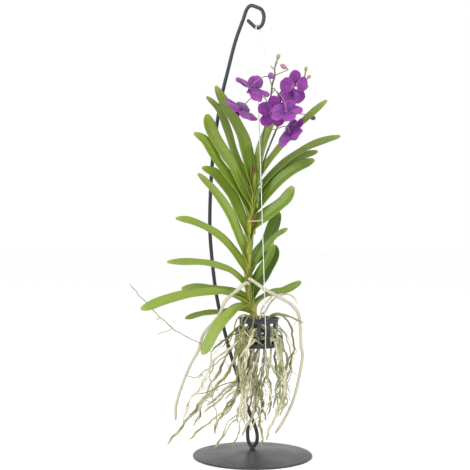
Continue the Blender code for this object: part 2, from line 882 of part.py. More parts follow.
# Turn of each tepal round the heart, its length and width as shares of the spread, and how far
# forward it starts
TEPALS = (
    (90, 0.50, 0.41, -0.0010),
    (20, 0.51, 0.43, 0.0010),
    (160, 0.51, 0.43, 0.0010),
    (-52, 0.52, 0.43, -0.0010),
    (232, 0.52, 0.43, -0.0010),
)


def tepal_rows(bend, direction, length, width, depth, count=4):
    """Rows of three points along a rounded tepal on a narrow claw, bent back and a little cupped."""
    around = math.radians(direction)
    out = Vector((math.cos(around), math.sin(around), 0))
    across = Vector((-math.sin(around), math.cos(around), 0))
    rows = []
    reach = 0.0030
    for index in range(count + 1):
        t = index / count
        half = width / 2 * (0.24 + 0.80 * math.sin(math.pi * 0.90 * t**0.85) ** 0.75)
        cup = 0.12 * half
        middle = out * reach + UP * depth
        rows.append([middle - across * half + UP * cup, middle, middle + across * half + UP * cup])
        tilt = math.radians(bend * (1 - 1.7 * t))
        reach += math.cos(tilt) * length / count
        depth -= math.sin(tilt) * length / count
    return rows


def facing_frame(centre, facing, top):
    """A frame at a centre whose Z runs along the facing and whose Y leans towards the top direction."""
    front = facing.normalized()
    upper = (top - front * top.dot(front)).normalized()
    side = upper.cross(front)
    turn = Matrix((side, upper, front)).transposed().to_4x4()
    return Matrix.Translation(centre) @ turn


def build_bloom(bloom, parts, purple):
    """Five tepals, the three-lobed lip, the column and the spur, as one solid."""
    place = facing_frame(bloom.heart, bloom.facing, bloom.top)
    middle = Vector((0, 0, -0.0004))
    pieces = [ellipsoid("heart", middle, (0.0042, 0.0042, 0.0034), UP, parts, purple, 5, 6)]
    for number, (direction, length, width, depth) in enumerate(TEPALS):
        rows = tepal_rows(bloom.bend, direction, length * bloom.spread, width * bloom.spread, depth)
        pieces.append(sheet(f"tepal_{number}", rows, PETAL_THICKNESS, parts, purple))
    middle = Vector((0, 0.0008, 0.0042))
    column = ellipsoid("column", middle, (0.0022, 0.0022, 0.0042), UP, parts, purple, 4, 6)
    lip_axis = Vector((0, -0.85, 0.5))
    middle = Vector((0, -0.0070, 0.0052))
    lip = ellipsoid("lip", middle, (0.0046, 0.0018, 0.0075), lip_axis, parts, purple, 4, 6)
    pieces += [column, lip]
    for side in (-1, 1):
        middle = Vector((side * 0.0038, -0.0022, 0.0046))
        pieces.append(ellipsoid("lobe", middle, (0.0014, 0.0030, 0.0040), UP, parts, purple, 3, 4))
    spur_line = [
        Vector((0, -0.0015, 0.0015)),
        Vector((0, -0.55, -0.25)) * bloom.spur,
        Vector((0, -0.85, -0.55)) * bloom.spur,
    ]
    pieces.append(tube("spur", spur_line, 0.0014, parts, purple, tip=0.45, sides=6))
    made = fused(bloom.name, pieces, parts)
    made.data.transform(place)
    return made


def stalk_to(points, end, approach, parts, finish):
    """A flower's or a bud's own thin stalk, from the main stalk to just short of what it carries."""
    line = smooth_route([*points, approach, end], 0.013)
    return tube("stalk", line, STALK_RADIUS, parts, finish, sides=4)


def build_flowers(parts, purple, olive, buds):
    """Both flower stalks with their side stalks and green buds, the coloured buds and the open blooms."""
    for spike, route in enumerate(SPIKES):
        line = smooth_route(list(route), 0.022)
        pieces = [tube("rachis", line, SPIKE_RADIUS, parts, olive, tip=0.7, sides=8)]
        for bloom in BLOOMS:
            if bloom.spike == spike:
                place = facing_frame(bloom.heart, bloom.facing, bloom.top)
                end = place @ Vector((0, 0.0010, -0.0038 - SEAT_GAP * 0.5))
                approach = place @ Vector((0, 0.0030, -0.0100))
                pieces.append(stalk_to(bloom.stalk, end, approach, parts, olive))
        for bud in COLOURED_BUDS:
            if bud.spike == spike:
                axis = bud.axis.normalized()
                end = bud.centre - axis * (bud.long + SEAT_GAP)
                pieces.append(stalk_to(bud.stalk, end, end - axis * 0.0030, parts, olive))
        for bud in GREEN_BUDS:
            if bud.spike == spike:
                radii = (bud.side, bud.side, bud.long)
                pieces.append(ellipsoid(bud.name, bud.centre, radii, bud.axis, parts, olive, 4, 6))
                if bud.stalk:
                    pieces.append(tube("stalk", list(bud.stalk), STALK_RADIUS, parts, olive, sides=4))
        fused(f"flower_spike_{spike + 1}", pieces, parts)
    for bud in COLOURED_BUDS:
        ellipsoid(bud.name, bud.centre, (bud.side, bud.side, bud.long), bud.axis, parts, buds, 6, 8)
    for bloom in BLOOMS:
        build_bloom(bloom, parts, purple)


# Roots

CORE_RADII = (0.0250, 0.0250, 0.0235)
CORE_CENTRE = BASKET_CENTRE + UP * (BASKET_FLOOR + BASKET_WALL + SEAT_GAP + CORE_RADII[2] - CORE_SINK)


@dataclass(frozen=True)
class Root:
    """One root: the points it passes on its way out, then its path as (along X, height)."""

    way: tuple
    path: tuple
    near: float
    far: float
    radius: float


def wall_way(slot, height):
    """The way out through an upright slot of the basket, counted round from +X."""
    angle = 2 * math.pi * (slot + 0.5) / BASKET_SLOTS
    out = Vector((math.cos(angle), math.sin(angle), 0))
    level = BASKET_CENTRE + UP * height
    inside = level + out * (BASKET_RADIUS - 0.003)
    outside = level + out * (BASKET_RADIUS + 0.005) - UP * 0.001
    return (level + out * 0.018, inside, outside)


def floor_way(slot, forward):
    """The way out through a slot of the basket's floor, counted from the middle one."""
    place = BASKET_CENTRE + Vector((slot * FLOOR_PITCH, forward, BASKET_FLOOR))
    start = place + UP * 0.021
    start.x = CORE_CENTRE.x + (place.x - CORE_CENTRE.x) * 0.7
    start.y = CORE_CENTRE.y + (place.y - CORE_CENTRE.y) * 0.7
    return (start, place + UP * 0.005, place - UP * 0.004)


def rim_way(angle, reach):
    """The way out over the basket's rim."""
    out = Vector((math.cos(math.radians(angle)), math.sin(math.radians(angle)), 0))
    level = BASKET_CENTRE + UP * (BASKET_TOP + 0.0050)
    return (level + out * 0.010 - UP * 0.016, level + out * 0.026, level + out * reach)


ROOTS = (
    Root(
        wall_way(6, 0.243), ((-0.040, 0.232), (-0.055, 0.219), (-0.0786, 0.199)), -0.008, -0.016,
        0.0022,
    ),
    Root(
        wall_way(6, 0.221),
        ((-0.044, 0.198), (-0.065, 0.180), (-0.086, 0.166), (-0.106, 0.152), (-0.126, 0.157)),
        -0.012, -0.030, 0.0010,
    ),
    Root(
        (Vector((-0.0786, -0.0160, 0.199)),),
        ((-0.0915, 0.2117), (-0.1315, 0.2325), (-0.163, 0.2565), (-0.187, 0.283), (-0.2290, 0.3280)),
        -0.018,
        -0.050,
        0.0010,
    ),
    Root(
        (Vector((-0.0780, -0.0160, 0.199)),),
        (
            (-0.078, 0.1795), (-0.081, 0.166), (-0.078, 0.137), (-0.073, 0.106), (-0.0677, 0.071),
            (-0.065, 0.053),
        ),
        -0.018,
        -0.010,
        0.0016,
    ),
    Root(
        wall_way(7, 0.228),
        (
            (-0.045, 0.205), (-0.070, 0.187), (-0.081, 0.169), (-0.097, 0.137), (-0.113, 0.116),
            (-0.123, 0.097), (-0.130, 0.071),
        ),
        -0.034,
        -0.030,
        0.0019,
    ),
    Root(
        wall_way(8, 0.222),
        ((-0.014, 0.206), (-0.025, 0.185), (-0.017, 0.1455), (-0.024, 0.106), (-0.030, 0.070)),
        -0.040, -0.030, 0.0030,
    ),
    Root(
        wall_way(7, 0.242),
        ((-0.020, 0.215), (-0.028, 0.180), (-0.0304, 0.1455), (-0.065, 0.108), (-0.090, 0.087)),
        -0.030,
        -0.020,
        0.0026,
    ),
    Root(
        wall_way(6, 0.232),
        (
            (-0.031, 0.200), (-0.039, 0.172), (-0.065, 0.137), (-0.092, 0.1106), (-0.123, 0.0707),
            (-0.145, 0.0442), (-0.158, 0.027),
        ),
        -0.010,
        -0.020,
        0.0031,
    ),
    Root(
        (Vector((-0.0304, -0.0262, 0.1455)),),
        ((-0.054, 0.140), (-0.081, 0.128), (-0.105, 0.1225)), -0.030, -0.040, 0.0012,
    ),
    Root(
        wall_way(5, 0.226),
        ((-0.027, 0.200), (-0.022, 0.165), (-0.030, 0.143), (-0.065, 0.1106), (-0.0835, 0.092)),
        0.022, 0.024, 0.0030,
    ),
    Root(
        floor_way(-1, -0.010),
        (
            (-0.010, 0.175), (-0.020, 0.137), (-0.030, 0.1185), (-0.054, 0.0894), (-0.081, 0.071),
            (-0.118, 0.040),
        ),
        -0.014,
        -0.040,
        0.0024,
    ),
    Root(
        floor_way(-1, -0.019),
        (
            (-0.004, 0.170), (-0.004, 0.130), (-0.012, 0.100), (-0.025, 0.084), (-0.049, 0.0575),
            (-0.0677, 0.025),
        ),
        -0.020,
        -0.050,
        0.0019,
    ),
    Root(
        floor_way(0, -0.022),
        ((-0.002, 0.160), (-0.010, 0.120), (-0.022, 0.073), (-0.030, 0.045), (-0.0384, 0.021)),
        -0.026, -0.052, 0.0018,
    ),
    Root(
        floor_way(0, -0.012),
        ((0.0055, 0.185), (0.0064, 0.1588), (0.0093, 0.1053), (0.0146, 0.0654), (0.0185, 0.0180)),
        -0.012, -0.024, 0.0026,
    ),
    Root(
        wall_way(10, 0.222),
        ((0.046, 0.200), (0.0593, 0.1588), (0.057, 0.1185), (0.041, 0.0788), (0.0253, 0.0363)),
        -0.030, -0.022, 0.0031,
    ),
    Root(
        floor_way(1, -0.004),
        ((0.027, 0.185), (0.041, 0.1637), (0.0597, 0.1423), (0.060, 0.110), (0.052, 0.080)),
        -0.004, -0.014, 0.0028,
    ),
    Root(
        rim_way(8, 0.044),
        ((0.069, 0.250), (0.0782, 0.222), (0.0756, 0.185), (0.063, 0.134), (0.060, 0.100)), 0.010,
        0.012, 0.0020,
    ),
    Root(
        rim_way(-14, 0.043), ((0.066, 0.2655), (0.082, 0.2590), (0.097, 0.2533)), -0.012, -0.016,
        0.0018,
    ),
    Root(
        wall_way(11, 0.223), ((0.053, 0.195), (0.052, 0.165), (0.045, 0.125), (0.048, 0.095)),
        -0.008, 0.004, 0.0023,
    ),
    Root(
        wall_way(10, 0.241),
        ((0.047, 0.224), (0.051, 0.190), (0.046, 0.160), (0.052, 0.120), (0.044, 0.090)), -0.034,
        -0.036, 0.0021,
    ),
    Root(
        wall_way(7, 0.221),
        ((-0.022, 0.195), (-0.024, 0.160), (-0.018, 0.125), (-0.022, 0.095), (-0.018, 0.070)),
        -0.034, -0.036, 0.0028,
    ),
    Root(
        wall_way(8, 0.241),
        ((-0.006, 0.220), (-0.014, 0.180), (-0.010, 0.140), (-0.014, 0.100), (-0.006, 0.065)),
        -0.046, -0.038, 0.0026,
    ),
    Root(
        floor_way(-2, 0.004), ((-0.012, 0.185), (-0.014, 0.160), (-0.008, 0.120), (-0.012, 0.085)),
        0.018, 0.022, 0.0023,
    ),
    Root(
        floor_way(0, 0.000),
        (
            (0.002, 0.185), (-0.006, 0.165), (0.001, 0.132), (0.004, 0.1058), (-0.001, 0.079),
            (-0.012, 0.0575), (-0.020, 0.044),
        ),
        -0.004,
        -0.022,
        0.0030,
    ),
    Root(
        floor_way(1, -0.012), ((0.026, 0.160), (0.033, 0.110), (0.014, 0.089), (-0.004, 0.053)),
        -0.014, -0.030, 0.0015,
    ),
    Root(
        floor_way(2, -0.006), ((0.034, 0.185), (0.030, 0.150), (0.036, 0.115), (0.030, 0.075)),
        -0.004, 0.010, 0.0022,
    ),
    Root(
        wall_way(0, 0.226),
        ((0.060, 0.205), (0.066, 0.170), (0.058, 0.135), (0.066, 0.105), (0.058, 0.080)), 0.018,
        0.022, 0.0020,
    ),
    Root(
        wall_way(1, 0.240), ((0.050, 0.215), (0.044, 0.170), (0.054, 0.130), (0.040, 0.085)),
        0.044, 0.036, 0.0026,
    ),
    Root(
        wall_way(2, 0.224), ((0.024, 0.195), (0.028, 0.150), (0.018, 0.110), (0.026, 0.060)),
        0.050, 0.040, 0.0028,
    ),
    Root(
        wall_way(3, 0.240),
        ((0.000, 0.215), (-0.006, 0.170), (0.004, 0.130), (-0.004, 0.090), (0.004, 0.050)), 0.050,
        0.044, 0.0024,
    ),
    Root(
        wall_way(4, 0.226),
        ((-0.020, 0.195), (-0.016, 0.155), (-0.034, 0.110), (-0.060, 0.070), (-0.074, 0.035)),
        0.040, 0.036, 0.0026,
    ),
    Root(
        wall_way(5, 0.242),
        ((-0.044, 0.220), (-0.052, 0.180), (-0.080, 0.130), (-0.100, 0.080), (-0.112, 0.050)),
        0.034, 0.040, 0.0021,
    ),
    Root(
        floor_way(1, 0.012), ((0.022, 0.170), (0.014, 0.130), (0.020, 0.090), (0.010, 0.050)),
        0.018, 0.026, 0.0025,
    ),
    Root(
        floor_way(0, 0.016), ((0.008, 0.175), (0.002, 0.140), (0.008, 0.100), (-0.004, 0.072)),
        0.022, 0.020, 0.0021,
    ),
    Root(
        wall_way(11, 0.242), ((0.064, 0.226), (0.070, 0.190), (0.062, 0.160), (0.070, 0.120)),
        -0.014, -0.030, 0.0012,
    ),
)

AERIAL_LEFT = (
    Vector((-0.0080, -0.0097, 0.3262)),
    Vector((-0.0130, -0.0148, 0.3280)),
    Vector((-0.0290, -0.0234, 0.3150)),
    Vector((-0.0508, -0.0256, 0.2948)),
    Vector((-0.0650, -0.0190, 0.2646)),
    Vector((-0.0915, -0.0120, 0.2325)),
    Vector((-0.1020, -0.0100, 0.2007)),
    Vector((-0.1179, -0.0080, 0.1716)),
    Vector((-0.1340, -0.0040, 0.1317)),
    Vector((-0.1446, 0.0000, 0.0947)),
    Vector((-0.1452, 0.0020, 0.0680)),
)

AERIAL_RIGHT = (
    Vector((-0.0060, -0.0075, 0.3352)),
    Vector((0.0020, -0.0128, 0.3310)),
    Vector((0.0251, -0.0160, 0.3149)),
    Vector((0.0529, -0.0160, 0.2998)),
    Vector((0.0758, -0.0120, 0.2846)),
    Vector((0.0885, -0.0080, 0.2618)),
    Vector((0.0915, -0.0060, 0.2113)),
    Vector((0.0941, -0.0060, 0.1875)),
    Vector((0.0862, -0.0080, 0.1423)),
    Vector((0.0756, -0.0120, 0.1053)),
    Vector((0.0597, -0.0180, 0.0735)),
    Vector((0.0423, -0.0240, 0.0482)),
)


def clear_of_rod(place, front):
    """The place moved in depth so that a root passes before or behind the rod and its foot loop."""
    if place.z > 0.270:
        return place
    low = [(along, height) for along, height in ROD_ROUTE[17:23] if height > 0.06]
    along = 0.0
    for (high_along, high), (low_along, lower) in zip(low, low[1:]):
        if lower <= place.z <= high:
            along = low_along + (high_along - low_along) * (place.z - lower) / (high - lower)
    rod = stand_place(along, place.z)
    reach = 0.020 if place.z > 0.066 else 0.026
    if abs(place.x - rod.x) > reach:
        return place
    limit = 0.0115
    depth = min(place.y, rod.y - limit) if front else max(place.y, rod.y + limit)
    return Vector((place.x, depth, place.z))


def root_line(root):
    """The middle line of one root."""
    count = len(root.path)
    places = list(root.way)
    for index, (along, height) in enumerate(root.path):
        depth = root.near + (root.far - root.near) * index / max(1, count - 1)
        places.append(Vector((along, depth, height)))
    line = smooth_route(places, 0.024)
    front = root.far < 0
    return [clear_of_rod(place, front) for place in line]


def build_roots(parts, silver, cream):
    """The root crown in the basket with its roots, and the two free roots that leave the stem."""
    core = ellipsoid("core", CORE_CENTRE, CORE_RADII, UP, parts, silver, 8, 12)
    pieces = [core]
    for number, root in enumerate(ROOTS):
        sides = 6 if root.radius > 0.0015 else 4
        line = root_line(root)
        name = f"root_{number}"
        pieces.append(tube(name, line, root.radius, parts, silver, tip=0.5, sides=sides))
    bunch = fused("root_bunch", pieces, parts)
    socket_line = smooth_route(list(STEM_ROUTE), 0.030)
    socket_line[0] = socket_line[0] - UP * 2 * SEAT_GAP
    wide = STEM_RADIUS + 2 * SEAT_GAP
    socket = tube("stem_socket", socket_line, wide, parts, silver, tip=STEM_TIP, sides=8)
    cut = bunch.modifiers.new("stem_socket", "BOOLEAN")
    cut.operation = "DIFFERENCE"
    cut.object = socket
    baked(bunch)
    bpy.data.objects.remove(socket, do_unlink=True)
    for name, route in (("aerial_root_left", AERIAL_LEFT), ("aerial_root_right", AERIAL_RIGHT)):
        tube(name, smooth_route(list(route), 0.018), 0.0033, parts, cream, tip=0.75, sides=8)


def main():
    """Builds the whole object."""
    clear_scene()
    parts = bpy.data.collections.new("vanda_orchid_on_stand")
    cutters = bpy.data.collections.new("cutters")
    for collection in (parts, cutters):
        bpy.context.scene.collection.children.link(collection)
    black_steel = finish_of("black_steel", (0.03, 0.03, 0.035), 0.45, 0.6)
    black_felt = finish_of("black_felt", (0.02, 0.02, 0.02), 0.95)
    zinc = finish_of("zinc", (0.72, 0.74, 0.75), 0.35, 0.9)
    straw_tie = finish_of("straw_tie", (0.60, 0.52, 0.22), 0.7)
    black_plastic = finish_of("black_plastic", (0.03, 0.032, 0.045), 0.5)
    leaf_green = finish_of("leaf_green", (0.20, 0.38, 0.06), 0.45)
    petal_purple = finish_of("petal_purple", (0.36, 0.06, 0.48), 0.5)
    stalk_olive = finish_of("stalk_olive", (0.30, 0.34, 0.12), 0.5)
    bud_purple = finish_of("bud_purple", (0.35, 0.12, 0.38), 0.5)
    root_silver = finish_of("root_silver", (0.56, 0.57, 0.36), 0.8)
    root_cream = finish_of("root_cream", (0.76, 0.68, 0.55), 0.8)
    build_stand(parts, black_steel, black_felt, zinc)
    build_hanger(parts, zinc, straw_tie)
    build_basket(parts, cutters, black_plastic)
    build_leafy_stem(parts, leaf_green)
    build_flowers(parts, petal_purple, stalk_olive, bud_purple)
    build_roots(parts, root_silver, root_cream)


main()
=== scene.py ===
"""Dresses the hanging vanda orchid: its stand, wire, basket, leaves, roots and flowers.

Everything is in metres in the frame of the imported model: the floor is z = 0, +X is the viewer's right and
+Y points away from the viewer.
"""

from __future__ import annotations

import json
import logging
import math
from dataclasses import dataclass, field
from enum import Enum
from typing import ClassVar

import bpy
import numpy as np
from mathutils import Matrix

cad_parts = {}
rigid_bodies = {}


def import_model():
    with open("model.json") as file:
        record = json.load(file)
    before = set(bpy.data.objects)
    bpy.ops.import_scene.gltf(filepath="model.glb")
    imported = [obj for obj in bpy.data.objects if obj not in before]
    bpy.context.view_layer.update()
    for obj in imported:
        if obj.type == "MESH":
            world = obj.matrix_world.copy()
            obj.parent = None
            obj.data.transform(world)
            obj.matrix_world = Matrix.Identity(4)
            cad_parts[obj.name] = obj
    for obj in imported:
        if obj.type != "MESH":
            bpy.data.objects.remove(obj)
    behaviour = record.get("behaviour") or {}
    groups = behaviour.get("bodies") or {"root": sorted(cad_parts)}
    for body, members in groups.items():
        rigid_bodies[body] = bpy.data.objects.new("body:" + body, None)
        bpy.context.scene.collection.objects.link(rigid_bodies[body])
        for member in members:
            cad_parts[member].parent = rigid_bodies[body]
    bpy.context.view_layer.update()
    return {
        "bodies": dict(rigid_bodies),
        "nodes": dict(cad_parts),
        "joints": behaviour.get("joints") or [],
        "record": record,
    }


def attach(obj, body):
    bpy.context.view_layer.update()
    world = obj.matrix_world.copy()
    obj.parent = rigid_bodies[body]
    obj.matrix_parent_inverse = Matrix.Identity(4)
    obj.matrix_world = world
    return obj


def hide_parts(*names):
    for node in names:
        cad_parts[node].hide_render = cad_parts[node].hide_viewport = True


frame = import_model()
LOG = logging.getLogger("vanda")
UP = np.array((0.0, 0.0, 1.0))
RIGHT = np.array((1.0, 0.0, 0.0))
BACK = np.array((0.0, 1.0, 0.0))
GAP = 0.0003
BODY = "root"
Material = bpy.types.Material
Object = bpy.types.Object
Socket = bpy.types.NodeSocket
Tree = bpy.types.NodeTree
Look = tuple[Socket, Socket, Socket]


def mm(*rows: tuple) -> tuple[tuple[float, ...], ...]:
    """Rows of numbers given in millimetres, in metres."""
    return tuple(tuple(round(number / 1000, 7) for number in row) for row in rows)


@dataclass
class Surface:
    """Points, faces and per-point values of a mesh, before it becomes an object.

    Attributes:
        points: One row of x, y, z for each vertex.
        faces: Vertex numbers of each face, as tuples of three or four.
        values: Named per-point numbers that the materials read.
    """

    points: np.ndarray
    faces: list[tuple[int, ...]]
    values: dict[str, np.ndarray] = field(default_factory=dict)

    @staticmethod
    def joined(parts: list[Surface]) -> Surface:
        """One surface from several, with their values side by side.

        Args:
            parts: The surfaces, all with the same value names.

        Returns:
            The joined surface.
        """
        faces: list[tuple[int, ...]] = []
        start = 0
        for part in parts:
            faces += [tuple(number + start for number in face) for face in part.faces]
            start += len(part.points)
        names = parts[0].values
        values = {name: np.concatenate([part.values[name] for part in parts]) for name in names}
        return Surface(np.concatenate([part.points for part in parts]), faces, values)

    def moved(self, matrix: np.ndarray) -> Surface:
        """The surface with a 4 by 4 matrix applied to its points."""
        return Surface(self.points @ matrix[:3, :3].T + matrix[:3, 3], self.faces, self.values)

    def to_object(self, name: str, material: Material, slot: str) -> Object:
        """Makes the mesh object, shades it smooth and puts it on the model's body.

        Args:
            name: The object's name.
            material: The finish of all its faces.
            slot: The record's material slot that the finish belongs to; not used.

        Returns:
            The new object, at the origin.
        """
        mesh = bpy.data.meshes.new(name)
        mesh.from_pydata(self.points.tolist(), [], self.faces)
        for key, numbers in self.values.items():
            layer = mesh.attributes.new(key, "FLOAT", "POINT")
            layer.data.foreach_set("value", np.asarray(numbers, dtype=np.float32))
        mesh.polygons.foreach_set("use_smooth", np.ones(len(mesh.polygons), bool))
        mesh.materials.append(material)
        mesh.update()
        made = bpy.data.objects.new(name, mesh)
        bpy.context.scene.collection.objects.link(made)
        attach(made, BODY)
        LOG.info("%s: %d faces", name, len(mesh.polygons))
        return made


def ring_faces(rings: int, sides: int, loop: bool = False) -> list[tuple[int, ...]]:
    """Quads between neighbouring closed rings of points.

    Args:
        rings: How many rings of points follow each other.
        sides: How many points each ring has.
        loop: Whether the last ring is also joined to the first.

    Returns:
        The faces, with each ring's points numbered after those of the ring before.
    """
    row = np.arange(rings if loop else rings - 1)[:, None] * sides
    beside = (row + sides) % (rings * sides)
    column = np.arange(sides)[None, :]
    following = (column + 1) % sides
    quads = np.stack([row + column, row + following, beside + following, beside + column], -1)
    return [tuple(quad) for quad in quads.reshape(-1, 4).tolist()]


def closed_loft(rings: np.ndarray, values: dict[str, np.ndarray]) -> Surface:
    """A closed skin over rings of points, with a fan from each end ring to the middle of that ring.

    Args:
        rings: Points as (ring, side, xyz). Seen along the rings' order, the sides run against the clock.
        values: Numbers for each point as (ring, side).

    Returns:
        The surface, with the two middle points numbered last.
    """
    count, sides = rings.shape[:2]
    points = np.concatenate([rings.reshape(-1, 3), [rings[0].mean(0), rings[-1].mean(0)]])
    spread = {
        name: np.concatenate([numbers.reshape(-1), [numbers[0].mean(), numbers[-1].mean()]])
        for name, numbers in values.items()
    }
    around = np.arange(sides)
    beside = (around + 1) % sides
    end, first = (count - 1) * sides, count * sides
    faces = ring_faces(count, sides)
    faces += np.stack([beside, around, np.full(sides, first)], -1).tolist()
    faces += np.stack([around + end, beside + end, np.full(sides, first + 1)], -1).tolist()
    return Surface(points, faces, spread)


def unit(vectors: np.ndarray) -> np.ndarray:
    """Each vector divided by its own length."""
    return vectors / np.maximum(np.linalg.norm(vectors, axis=-1, keepdims=True), 1e-12)


def smooth_path(points: np.ndarray | list, spacing: float) -> np.ndarray:
    """Points along a Catmull-Rom curve through the given ones.

    Between points b and c the curve is half of 2b + (c - a)t + (2a - 5b + 4c - d)t^2 + (3b - a - 3c + d)t^3,
    where a and d are the neighbours before and after.

    Args:
        points: The points to pass through.
        spacing: About how far apart the new points lie.

    Returns:
        The curve's points, the last given one included.
    """
    given = np.asarray(points, float)
    padded = np.vstack([2 * given[0] - given[1], given, 2 * given[-1] - given[-2]])
    pieces = []
    for a, b, c, d in zip(padded, padded[1:], padded[2:], padded[3:]):
        steps = max(1, round(float(np.linalg.norm(c - b)) / spacing))
        t = (np.arange(steps) / steps)[:, None]
        square, cube = 2 * a - 5 * b + 4 * c - d, 3 * b - a - 3 * c + d
        pieces.append(0.5 * (2 * b + (c - a) * t + square * t**2 + cube * t**3))
    return np.vstack([*pieces, given[-1:]])


def distances(path: np.ndarray) -> np.ndarray:
    """How far along the path each point lies, in metres."""
    return np.concatenate([[0], np.cumsum(np.linalg.norm(np.diff(path, axis=0), axis=1))])


def shares(path: np.ndarray) -> np.ndarray:
    """How far along the path each point lies, from 0 to 1."""
    run = distances(path)
    return run / run[-1]


def at_height(path: np.ndarray, height: float) -> np.ndarray:
    """The point at a height of a path that is given from its foot up."""
    return np.array([np.interp(height, path[:, 2], path[:, axis]) for axis in (0, 1)] + [height])


def round_z(radius: np.ndarray | float, angle: np.ndarray, height: np.ndarray) -> np.ndarray:
    """Points round Z: x = r cos a, y = r sin a, z = h."""
    return np.stack(np.broadcast_arrays(radius * np.cos(angle), radius * np.sin(angle), height), -1)


def path_at(path: np.ndarray, at: np.ndarray) -> np.ndarray:
    """The path's points at shares of its length."""
    there = shares(path)
    return np.stack([np.interp(at, there, path[:, axis]) for axis in range(3)], -1)


def tube(
    path: np.ndarray, radius: np.ndarray | float, sides: int, aside: np.ndarray = BACK, **values: float
) -> Surface:
    """A round bar: the circle c(v) = r(u)(N cos v + B sin v) carried along the path, with rounded ends.

    Args:
        path: The middle line.
        radius: One radius, or one for each point.
        sides: Points round the bar.
        aside: A direction that the path never runs along, from which the frames are made.
        **values: Named numbers that are the same over the whole bar.

    Returns:
        The closed surface, with "along" from 0 to 1 and each named value.
    """
    cap_reach, cap_width = np.array([0.85, 0.55])[:, None], np.array([0.45, 0.82])
    reach = np.broadcast_to(np.asarray(radius, float), (len(path),)).copy()
    ahead = unit(np.gradient(path, axis=0))
    front = path[0] - ahead[0] * reach[0] * cap_reach
    rear = path[-1] + ahead[-1] * reach[-1] * cap_reach[::-1]
    path = np.vstack([front, path, rear])
    ahead = np.vstack([ahead[:1], ahead[:1], ahead, ahead[-1:], ahead[-1:]])
    reach = np.concatenate([reach[0] * cap_width, reach, reach[-1] * cap_width[::-1]])
    normal = unit(np.cross(ahead, np.broadcast_to(aside, ahead.shape)))
    binormal = np.cross(ahead, normal)
    angle = np.linspace(0, 2 * math.pi, sides, endpoint=False)[None, :, None]
    circle = normal[:, None] * np.cos(angle) + binormal[:, None] * np.sin(angle)
    rings = path[:, None] + circle * reach[:, None, None]
    along = np.repeat(shares(path)[:, None], sides, 1)
    more = {name: np.full(along.shape, number) for name, number in values.items()}
    return closed_loft(rings, {"along": along, **more})


def revolved(profile: np.ndarray | list, steps: int, centre: tuple = (0.0, 0.0, 0.0)) -> Surface:
    """A closed profile of (radius, height) turned round Z: x = r cos a, y = r sin a, z = h.

    Args:
        profile: The outline's points, down its outer side first.
        steps: How many times the outline is repeated round the axis.
        centre: The point on the axis that heights are counted from.

    Returns:
        The closed ring-shaped surface, with "along" round the outline.
    """
    outline = np.asarray(profile, float)
    count = len(outline)
    angle = np.linspace(0, 2 * math.pi, steps, endpoint=False)[:, None]
    radius, height = outline[:, 0][None, :], outline[:, 1][None, :]
    rings = round_z(radius, angle, height) + centre
    along = np.tile(np.linspace(0, 1, count), steps)
    return Surface(rings.reshape(-1, 3), ring_faces(steps, count, loop=True), {"along": along})


def blade(
    middle: np.ndarray, across: np.ndarray, facing: np.ndarray, thickness: np.ndarray,
    values: dict[str, np.ndarray]
) -> Surface:
    """A thin closed blade from its middle surface.

    Each ring runs over the upper face from one edge to the other and back under it. A point is the middle
    surface plus or minus half the thickness along the surface's own normal.

    Args:
        middle: The middle surface as (along, across, xyz).
        across: Direction from one edge to the other, as (along, xyz).
        facing: Direction of the upper face, as (along, xyz).
        thickness: Thickness as (along, across).
        values: Numbers as (along, across).

    Returns:
        The closed surface, with "under" 1 on the lower face.
    """
    u_way = np.gradient(middle, axis=0)
    v_way = np.gradient(middle, axis=1)
    normal = unit(np.cross(v_way, u_way))
    wrong = (normal * facing[:, None]).sum(-1, keepdims=True) < 0
    normal = np.where(wrong, -normal, normal)
    upper = middle + normal * thickness[..., None] / 2
    lower = middle - normal * thickness[..., None] / 2
    ahead = unit(np.gradient(middle[:, middle.shape[1] // 2], axis=0))
    clockwise = (np.cross(across, facing) * ahead).sum() > 0
    rings = np.concatenate([upper, lower[:, ::-1]], 1)
    if clockwise:
        rings = rings[:, ::-1]
    spread = {}
    for name, numbers in {**values, "under": np.zeros(thickness.shape)}.items():
        other = np.ones(thickness.shape) if name == "under" else numbers
        ring = np.concatenate([numbers, other[:, ::-1]], 1)
        spread[name] = ring[:, ::-1] if clockwise else ring
    return closed_loft(rings, spread)


